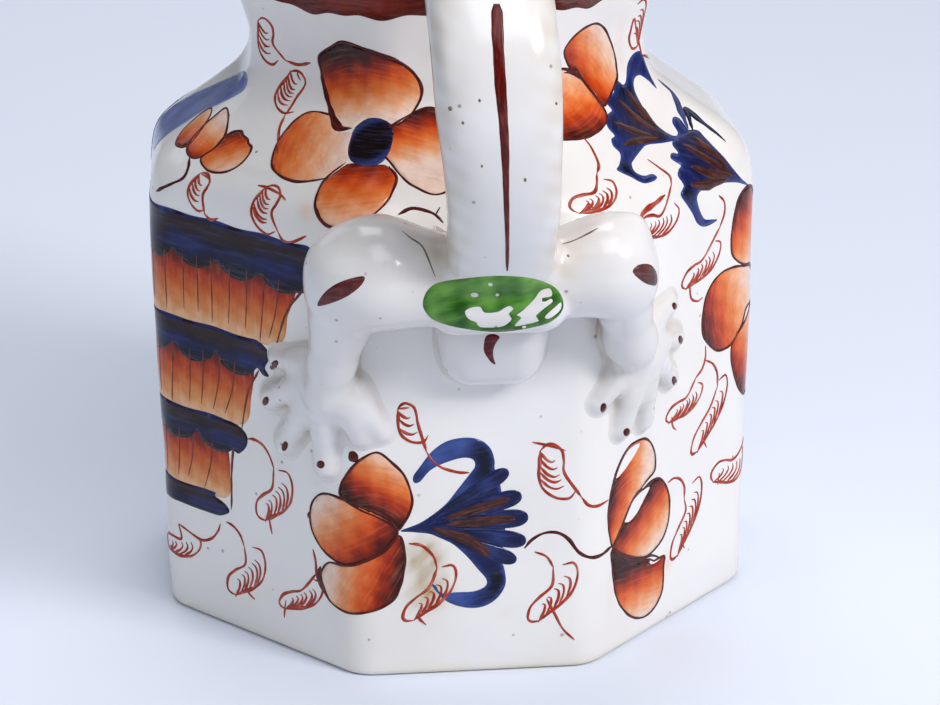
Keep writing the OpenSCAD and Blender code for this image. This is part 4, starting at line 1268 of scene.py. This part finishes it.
def shoulder_fans(p):
    """Two blue fan leaves, one above the other, with curled ends."""
    blues.film(p, [(-1.8, 66.3), (-3, 66), (-5, 66.3), (-6.5, 67.8), (-7.8, 69.3), (-6.8, 69.9),
        (-5.5, 70.8), (-4.8, 71.7), (-4.9, 73), (-4.2, 74.1), (-3.2, 74.4), (-3.2, 75.8), (-2.5, 77.2),
        (-1.2, 77.9), (-0.1, 78.2), (0, 79.4), (0.9, 80.4), (2.4, 80.5), (3.2, 81.2), (4.4, 82.1),
        (5.3, 81.2), (6.5, 82), (8, 84), (9.5, 84.9), (11, 84.8), (12, 83.5), (11.6, 81), (11, 79),
        (10.5, 80.5), (9.5, 81.7), (8, 81.5), (6.8, 80), (5.9, 77.5), (5.5, 75), (5.8, 72.8), (6.8, 71.2),
        (8, 71.4), (8.6, 73.2), (9.7, 74), (10.5, 73.4), (10.3, 71.6), (10, 70.7), (7, 70.4), (4, 70.7),
        (1, 71.3), (-0.5, 71), (-2.5, 70.3), (-3.5, 69.9), (-4.5, 69.4), (-5, 68.2), (-4, 67.2),
        (-2.3, 67)], inked([(-6.2, 69, 1.8, JET), (-4, 66.8, 1.2, NAVY), (3.5, 75.5, 2.8, (44, 26, 32)),
        (1, 72.6, 1.6, (44, 26, 32)), (-1, 75.6, 1.7, NAVY), (5, 80, 2.0, JET), (2, 78.6, 1.8, NAVY),
        (4.4, 72, 1.8, (40, 24, 30)), (9, 83, 1.6, (40, 46, 96)), (7.5, 71, 1.0, (62, 76, 130)),
        (1.6, 71.2, 0.7, SKY)], base=(28, 40, 100)), along=50, **FAN_LEAF)
    for pts in ([(4.6, 72.6), (3, 76), (2.6, 79.4)], [(3.4, 72), (0.4, 74.4), (-1.4, 76.4)], [(4, 71.6),
            (0, 72.4), (-3, 72.6)], [(5.2, 73), (5, 77), (5.4, 80.4)]):
        darks.ribbon(p, pts, [0.9, 2.1, 1.1], VEIN, lift=0.09, rough=0.4)
    blues.film(p, [(10.3, 57.3), (9, 57), (7.1, 57.1), (5.5, 58), (4.3, 59.7), (3, 61.3), (1.9, 62.9),
        (2.9, 63.9), (2.3, 65.4), (3.2, 66.3), (3.9, 66.6), (3, 68), (3.9, 68.8), (5, 68.4), (5.2, 69.9),
        (6.4, 70.7), (8.5, 71), (10.4, 71.2), (11.9, 70.6), (12, 69), (12.6, 66.5), (14, 64), (16, 61.8),
        (18.2, 60.2), (15, 61.4), (12, 62.1), (9, 62.4), (6.5, 62.3), (5.5, 61.5), (6, 59.8), (7.2, 58.2),
        (8.8, 57.7)], inked([(3.4, 62.8, 1.8, JET), (6, 59, 1.4, (40, 50, 110)), (9.6, 67.5, 3.0,
        (44, 26, 32)), (12, 64, 1.8, (44, 26, 32)), (6.5, 65.6, 1.8, NAVY), (6, 69, 1.4, NAVY),
        (16, 61.6, 1.4, JET), (10, 70.6, 1.2, JET)], base=(28, 40, 100)), along=-40, **FAN_LEAF)
    for pts in ([(14.6, 62.4), (10.6, 65), (7, 69.4)], [(13.6, 62.6), (9.6, 63.8), (5.6, 66)],
            [(13.2, 63.8), (11.2, 67), (10, 70)], [(12.6, 62.4), (8, 62.9), (4.4, 63.6)]):
        darks.ribbon(p, pts, [0.6, 2.1, 1.2], VEIN, lift=0.09, rough=0.4)
    blues.ribbon(p, [(11, 71), (12.2, 72.8), (13.4, 74.2), (14.2, 71.5), (15.4, 67.4)], [0.6, 1.2, 1.6,
        1.2, 0.4], INK)
    blues.ribbon(p, [(10.4, 71.4), (12, 74.6), (13.6, 77.4), (13, 80)], [0.6, 1.4, 1.2, 0.4], srgb(52, 62,
        112))


def shoulder_petals(p):
    """Two petals beside the handle, high on the right."""
    petal(p, [(-6, 88), (-5.4, 89.1), (-4, 90), (-2, 90.7), (0.5, 90.8), (2.8, 89.5), (4.3, 87.5),
        (5.2, 85), (5, 82.8), (3.5, 81.5), (1, 80), (-1, 79.3), (-1.2, 81), (-2, 83), (-3.5, 85.2),
        (-5, 86)], (-6.5, 85), (1, 90.5), around=(-6, 80), line=0.45)
    petal(p, [(-12.6, 76.9), (-10.5, 76), (-8.5, 75.6), (-6.5, 75.7), (-4, 76.3), (-2, 77.3), (-1.2, 79),
        (-1.5, 81.5), (-2.5, 83.5), (-4, 85), (-7, 86), (-10, 85), (-12.4, 81)], (-7.5, 74.8), (-6, 86.4),
        around=(-9, 90), line=0.45)
    darks.ribbon(p, [(-6.2, 85.4), (-4.4, 85.1), (-3, 83.9)], [0.4, 0.9, 0.4], MAROON, lift=0.1)


def small_group(p):
    """A bud of three petals with two sprays, used where the jug turns away."""
    petal(p, [(0, 0), (-2.2, 2.4), (-3, 5.4), (-1.4, 8), (1.2, 7.6), (2.2, 5), (1.2, 2)], (-3, 7), (1, 2),
        around=(0, 0))
    petal(p, [(0, 0), (1.6, 2.6), (4.4, 4.6), (7, 4), (7.4, 1.4), (5, -0.8), (2, -1)], (7, 4.6), (2, 0),
        line=0.45)
    petal(p, [(0, 0), (-2.4, 1.6), (-5.4, 2), (-7.4, 0.2), (-6.6, -2.4), (-3.6, -2.8), (-1, -1.6)],
        (-7, -1.5), (-1, 0.4), line=0.45)
    darks.ribbon(p, [(0, 0), (0.6, -2.4), (-0.4, -5), (-2.4, -6.6)], 0.5, MAROON)
    spray(p, (-9, -9.5), (-3.4, -5.6), 1, 3.4, stem=[(-0.6, -5.2), (-1.6, -4), (-3.6, -3.9), (-5, -4.8)],
        tail=[(-8, -10), (-7.4, -11.4)])
    spray(p, (9.4, -7.6), (4, -3.4), -1, 3.4, stem=[(0.5, -2), (2, -2.2), (4, -2.6), (5.4, -3.6)],
        tail=[(8.6, -8.2), (8.8, -9.6)])


front, left_face, right_face = Place(0), Place(-1), Place(1)
lower_flower(front)
lower_fan(front)
front_sprays(front)
big_flower(left_face, front)
left_bands(left_face)
left_sprays(left_face)
right_flower(right_face)
right_sprays(right_face)
side_flower(right_face)
shoulder_fans(right_face)
shoulder_petals(right_face)
# the side and back faces carry the same flowers and leaves in other arrangements
lower_fan(Place(2, (3, -6), 0.95))
small_group(Place(2, (9, 48), 1.0, 10, -1))
shoulder_fans(Place(3, (-2, 0), 1.0))
right_flower(Place(3, (5, 2), 1.0))
side_flower(Place(3, (-12, -2), 0.9))
small_group(Place(3, (-10, 22), 1.0, 20))
lower_flower(Place(4, (13, 2), 1.0))
lower_fan(Place(4, (12, 2), 1.0))
small_group(Place(4, (0, 50), 1.15))
big_flower(Place(4, (-8, -5), 1.0), Place(4, (17, -5), 1.0))
lower_flower(Place(5, (12, 16), 1.0, 0))
lower_fan(Place(5, (10, 16), 1.0, 0))
small_group(Place(5, (-2, 14), 0.9, -10, -1))
shoulder_petals(Place(5, (-2, -6), 1.0))
small_group(Place(6, (-9, 44), 1.0))
small_group(Place(6, (-7, 17), 1.0, 30, -1))
blues.film(Place(6), [(-9, 66), (-4, 63.8), (1, 64), (3.5, 66.5), (5, 70), (6, 74), (8.5, 77), (10, 80.5),
    (7.5, 82.5), (2, 81), (-4, 76), (-8, 71)], inked([(3, 74, 3, (128, 142, 190))], base=(104, 120, 176),
    rough=0.12), along=60, lift=0.035, halo=(168, 180, 214))
shoulder_fans(Place(6, (-13, 0), 0.9, 0, -1))


def rim_band():
    """Red-brown edge line inside and outside the rim, with an uneven lower edge."""
    def closed_ring(shell, w_low, w_high, wave):
        a = np.linspace(0, 8, 480, endpoint=False)
        rows_ = np.linspace(0, 1, 9)[:, None]
        low = w_low + wave * (0.5 * np.sin(a * 5.1) + 0.35 * np.sin(a * 11.3 + 1) + 0.25 * np.sin(a * 23.7
            + 2))
        w = low[None] + (w_high - low[None]) * rows_
        p = body_point(a[None] + 0 * w, w, shell)
        da = body_point(a[None] + 0.004 + 0 * w, w, shell) - body_point(a[None] - 0.004 + 0 * w, w, shell)
        dw = body_point(a[None] + 0 * w, np.clip(w + 0.05, 0, shell.w[-1]), shell) - body_point(a[None]
            + 0 * w, w - 0.05, shell)
        n = np.cross(da, dw)
        n /= np.linalg.norm(n, axis=-1, keepdims=True) + 1e-12
        return a, w, p, n
    for name, shell, lo_w, hi_w in (("outside", outer, 94.4 + W0, outer.w[-1] - 0.4), ("inside", inner,
            6.2, 0.4)):
        a, w, p, n = closed_ring(shell, lo_w, hi_w, 0.8)
        m, k = w.shape
        t = np.abs(w - w[:1]) / (np.abs(w[-1:] - w[:1]) + 1e-9)
        rgb = stops(0.1 + 0.55 * t + 0.12 * wobble(3 * a[None] + 0 * w, w, 3), [(0, (74, 16, 12)),
            (0.3, (128, 36, 20)), (1, (178, 74, 42))])
        h = np.where((t < 0.001) | (t > 0.999), 0.018, 0.05)
        brush = np.stack([a[None] * 33 / 6 + 0 * w, w / 0.5, 0 * w + 9], -1)
        top = grid_faces(m, k, True)
        if name == "outside":
            flipped = top
        else:
            flipped = top[:, ::-1]
        low_side = top[:, ::-1] + m * k if name == "outside" else top + m * k
        j = np.arange(k)
        last = (m - 1) * k
        w0 = np.stack([(j + 1) % k, j, j + m * k, (j + 1) % k + m * k], 1)
        w1 = np.stack([last + j, last + (j + 1) % k, last + (j + 1) % k + m * k, last + j + m * k], 1)
        if name == "inside":
            w0, w1 = w0[:, ::-1], w1[:, ::-1]
        both = np.concatenate([flipped, low_side, w0, w1])
        pp, nn = p.reshape(-1, 3), n.reshape(-1, 3)
        darks._add(np.concatenate([pp, pp]), np.concatenate([nn, nn]), np.concatenate([h.ravel(),
            np.full(m * k, UNDERSIDE)]), np.concatenate([rgb.reshape(-1, 3)] * 2),
            np.concatenate([brush.reshape(-1, 3)] * 2), both)


rim_band()


# --- marks on the animal ----------------------------------------------------------------------
def aimed(forward, up):
    """Meets the animal's skin along `forward`; a place is (x, distance along up)."""
    forward, up = np.array(forward, float), np.array(up, float)

    def surface(q):
        p = np.outer(q[:, 0], [1, 0, 0]) + np.outer(q[:, 1], up)
        lo, hi = FIELD_LO + 0.4, FIELD_HI - 0.4
        enter = np.full(len(p), -1e9)
        for k in range(3):
            if forward[k] > 1e-6:
                enter = np.maximum(enter, (lo[k] - p[:, k]) / forward[k])
            elif forward[k] < -1e-6:
                enter = np.maximum(enter, (hi[k] - p[:, k]) / forward[k])
        p = p + forward * enter[:, None]
        for _ in range(70):
            p = p + forward * (0.85 * sample(merged, p))[:, None]
        return onto_skin(p)
    return surface


TILT = math.radians(20)
facing = aimed((0, math.cos(TILT), -math.sin(TILT)), (0, math.sin(TILT), math.cos(TILT)))
downward = aimed((0, 0, -1), (0, 1, 0))
flat = Place(0)


def oval(x, y, a, b, turn=0.0, n=12):
    t = np.arange(n) / n * 2 * math.pi
    c, s = math.cos(math.radians(turn)), math.sin(math.radians(turn))
    return [(x + a * math.cos(k) * c - b * math.sin(k) * s, y + a * math.cos(k) * s + b * math.sin(k) * c)
        for k in t]


def plain(colour, vary=0.12):
    return lambda u, v: srgb(*colour)[None] * (1 + vary * wobble(1.5 * u, 1.5 * v, 4.0))[:, None]


darks.ribbon(flat, [(1.0, 70.9), (0.95, 69), (0.9, 66.7), (1.0, 62), (1.3, 57.6), (1.6, 53.2),
    (1.9, 48.7), (2.35, 44.2), (2.8, 40.6)], [1.45, 1.6, 1.55, 1.45, 1.2, 1.0, 0.75, 0.6, 0.45],
    srgb(88, 14, 10), lift=0.07, taper=(0.6, 0.5), surface=facing, rough=0.25)
greens.film(flat, [(-7.3, 37.2), (-6.7, 38.6), (-5.2, 39.5), (-1.6, 39.9), (2, 40), (5.8, 39.6),
    (8.8, 38.6), (10, 37.2), (10.2, 35.8), (9.3, 34.6), (7.3, 33.7), (2.3, 33.1), (-2.7, 33.8),
    (-5.7, 34.8), (-7, 36)], lambda u, v: stops(0.5 + 0.5 * wobble(0.5 * u, 0.6 * v, 2) + 0.12
    * (v - 36.5), [(0, (38, 84, 26)), (0.5, (70, 126, 44)), (1, (104, 158, 68))]), lift=0.09, step=0.4,
    surface=facing, along=10, stretch=(3, 0.6), bare=([(-2.1, 35.8), (-1.2, 36.3), (-0.2, 36.3),
    (0.3, 35.6), (1.9, 35.6), (2.7, 36), (3.4, 36.3), (3.9, 35.9), (3.3, 35.3), (3.7, 34.7), (3.2, 34.1),
    (2.2, 33.7), (-0.2, 33.8), (-0.7, 34.4), (-1.7, 34.9)], [(4.1, 33.8), (5.4, 33.9), (7.1, 34.3),
    (6.7, 34.9), (7.7, 35.8), (8.8, 36.6), (8.6, 37), (8.0, 36.7), (7.5, 36.7), (7.5, 37.1), (8.7, 37.3),
    (8.7, 38), (8.3, 38.3), (7.3, 38), (6.6, 37.1), (5.9, 36.4), (5, 35.6), (4.3, 35.1), (4.9, 34.8)],
    [(8.3, 34.5), (9.2, 35), (9.9, 35.7), (9.9, 36.5), (9.2, 36), (8.2, 35.2), (7.8, 34.7)],
    oval(-0.9, 37.8, 0.5, 0.28, -10), oval(0.9, 39.0, 0.3, 0.2, -20), oval(1.9, 37.7, 0.24, 0.18)))
darks.film(flat, [(-20.2, 37.2), (-19.3, 38.8), (-17.4, 40), (-14.6, 40.6), (-14.8, 39.6), (-16.3, 38.4),
    (-18.1, 37.6)], plain((92, 38, 40), 0.3), surface=facing, step=0.4, lift=0.07)
darks.film(flat, [(18.8, 39.9), (19.8, 40.8), (21.4, 40.7), (22.4, 39.5), (22.3, 38.2), (20.5, 38.5)],
    plain((88, 50, 52), 0.3), surface=facing, step=0.4, lift=0.07)
darks.film(flat, [(1.1, 32.6), (2, 32.8), (2.8, 32.4), (2.3, 31.6), (2, 30.7), (2.1, 29.7), (2.4, 28.9),
    (1.9, 29.1), (1.3, 29.8), (0.8, 30.7), (0.8, 31.7)], plain((96, 22, 32), 0.2), surface=facing,
    step=0.4, lift=0.07)
for x, s, a, b, turn in ((-25.7, 29.6, 0.55, 0.95, -35), (-27, 24.8, 0.5, 0.8, -20), (-24.7, 18.7, 0.5,
        0.9, -15), (-20.1, 16.3, 0.65, 0.7, 0), (28, 35.4, 0.5, 0.65, 20), (29.1, 30.8, 0.5, 0.8, 25),
        (28.2, 25.3, 0.5, 0.9, 25), (20.7, 18.9, 0.6, 0.7, 0), (17.2, 22.4, 0.55, 0.85, 0)):
    darks.film(flat, oval(x, s, 0.82 * a, 0.8 * b, turn), plain((92, 20, 20), 0.25), surface=facing,
        step=0.35, lift=0.09)
for crack in ([(-9.5, 46), (-8.5, 45.1), (-7.2, 44.1), (-6.5, 42.5), (-6.1, 41.3), (-5.7, 40.2)],
        [(10.3, 43.7), (11.8, 44.1), (13.6, 44.9), (14.8, 45.5)]):
    darks.ribbon(flat, crack, 0.26, srgb(120, 112, 104), lift=0.03, surface=facing)
for x, s, size in ((-1.4, 59.9, 0.16), (-4.7, 59.2, 0.22), (-3.3, 57.5, 0.16), (7.6, 59.4, 0.15),
        (4.0, 50.9, 0.18), (-1.1, 52.6, 0.14), (10.9, 42.2, 0.16)):
    darks.film(flat, oval(x, s, size, 1.3 * size, 20, 8), plain((132, 112, 84), 0.3), surface=facing,
        step=0.3, lift=0.03)
for side in (-1, 1):
    darks.film(flat, oval(side * 4.2, -33.4, 1.1, 1.3), plain((52, 24, 26), 0.2), surface=downward,
        step=0.4, lift=0.06)

for coat in (washes, blues, darks, lines):
    coat.finish()
green_coat = greens.finish()
# ---------------------------------------------------------------- floor, light, camera
def stage_floor():
    mat = bpy.data.materials.new("floor_pale")
    mat.use_nodes = True
    nt = mat.node_tree
    sh = nt.nodes["Principled BSDF"]
    sh.inputs["Roughness"].default_value = 0.9
    n = node(nt, "ShaderNodeTexNoise", Scale=30.0, Detail=2.0)
    ramp = nt.nodes.new("ShaderNodeValToRGB")
    ramp.color_ramp.elements[0].color = (0.72, 0.78, 0.90, 1)
    ramp.color_ramp.elements[1].color = (0.75, 0.81, 0.93, 1)
    nt.links.new(n.outputs["Fac"], ramp.inputs["Fac"])
    nt.links.new(ramp.outputs["Color"], sh.inputs["Base Color"])
    corners = [(-4.0, -4.0, 0), (4.0, -4.0, 0), (4.0, 4.0, 0), (-4.0, 4.0, 0)]
    mesh = bpy.data.meshes.new("floor")
    mesh.from_pydata(corners, [], [(0, 1, 2, 3)])
    mesh.materials.append(mat)
    o = bpy.data.objects.new("floor", mesh)
    bpy.context.scene.collection.objects.link(o)


stage_floor()


def area_light(name, at, target, size, power, color):
    data = bpy.data.lights.new(name, "AREA")
    data.shape = "RECTANGLE"
    data.size, data.size_y = size
    data.energy = power
    data.color = color
    o = bpy.data.objects.new(name, data)
    o.location = Vector(at)
    o.rotation_mode = "QUATERNION"
    o.rotation_quaternion = (Vector(target) - Vector(at)).to_track_quat("-Z", "Y")
    bpy.context.scene.collection.objects.link(o)


LIGHT_AIM, COOL = (0, 0, 0.05), (0.97, 0.98, 1.0)
area_light("key", (0.412, -0.398, 0.452), LIGHT_AIM, (0.2, 0.2), 3.05, (1.0, 0.955, 0.93))
area_light("front", (0.104, -0.388, 0.623), LIGHT_AIM, (0.4, 0.4), 1.5, COOL)
area_light("fill", (-0.555, -0.466, 0.388), LIGHT_AIM, (0.5, 0.5), 0.85, (0.95, 0.99, 1.0))
area_light("back", (0.0, 0.247, 0.811), LIGHT_AIM, (0.4, 0.4), 1.9, COOL)
area_light("floor_behind", (0.0, 0.8, 0.6), (0, 0.8, 0), (1.8, 0.8), 4.0, COOL)

world = bpy.data.worlds.new("soft")
bpy.context.scene.world = world
world.use_nodes = True
world.node_tree.nodes["Background"].inputs[0].default_value = (0.86, 0.90, 1.0, 1)
world.node_tree.nodes["Background"].inputs[1].default_value = 0.15


PHOTO_WIDTH = 940
SENSOR = 36
CAMERA_AIM = (0, 0, 0.030)


def add_camera():
    az, el, roll = math.radians(-4.5), math.radians(21.23), math.radians(-0.62)
    distance, focal_px = 0.3805, 2600.0
    back = Vector((math.sin(az) * math.cos(el), -math.cos(az) * math.cos(el), math.sin(el)))
    right = Vector((math.cos(az), math.sin(az), 0))
    up = back.cross(right)
    r2 = right * math.cos(roll) + up * math.sin(roll)
    u2 = -right * math.sin(roll) + up * math.cos(roll)
    data = bpy.data.cameras.new("camera")
    data.sensor_width = SENSOR
    data.lens = focal_px * SENSOR / PHOTO_WIDTH
    data.shift_x, data.shift_y = 0.0226, 0.0112
    data.clip_start, data.clip_end = 0.01, 10
    o = bpy.data.objects.new("camera", data)
    m = Matrix((r2, u2, back)).transposed().to_4x4()
    m.translation = Vector(CAMERA_AIM) + back * distance
    o.matrix_world = m
    bpy.context.scene.collection.objects.link(o)
    bpy.context.scene.camera = o


add_camera()
bpy.context.scene.view_settings.view_transform = "Standard"
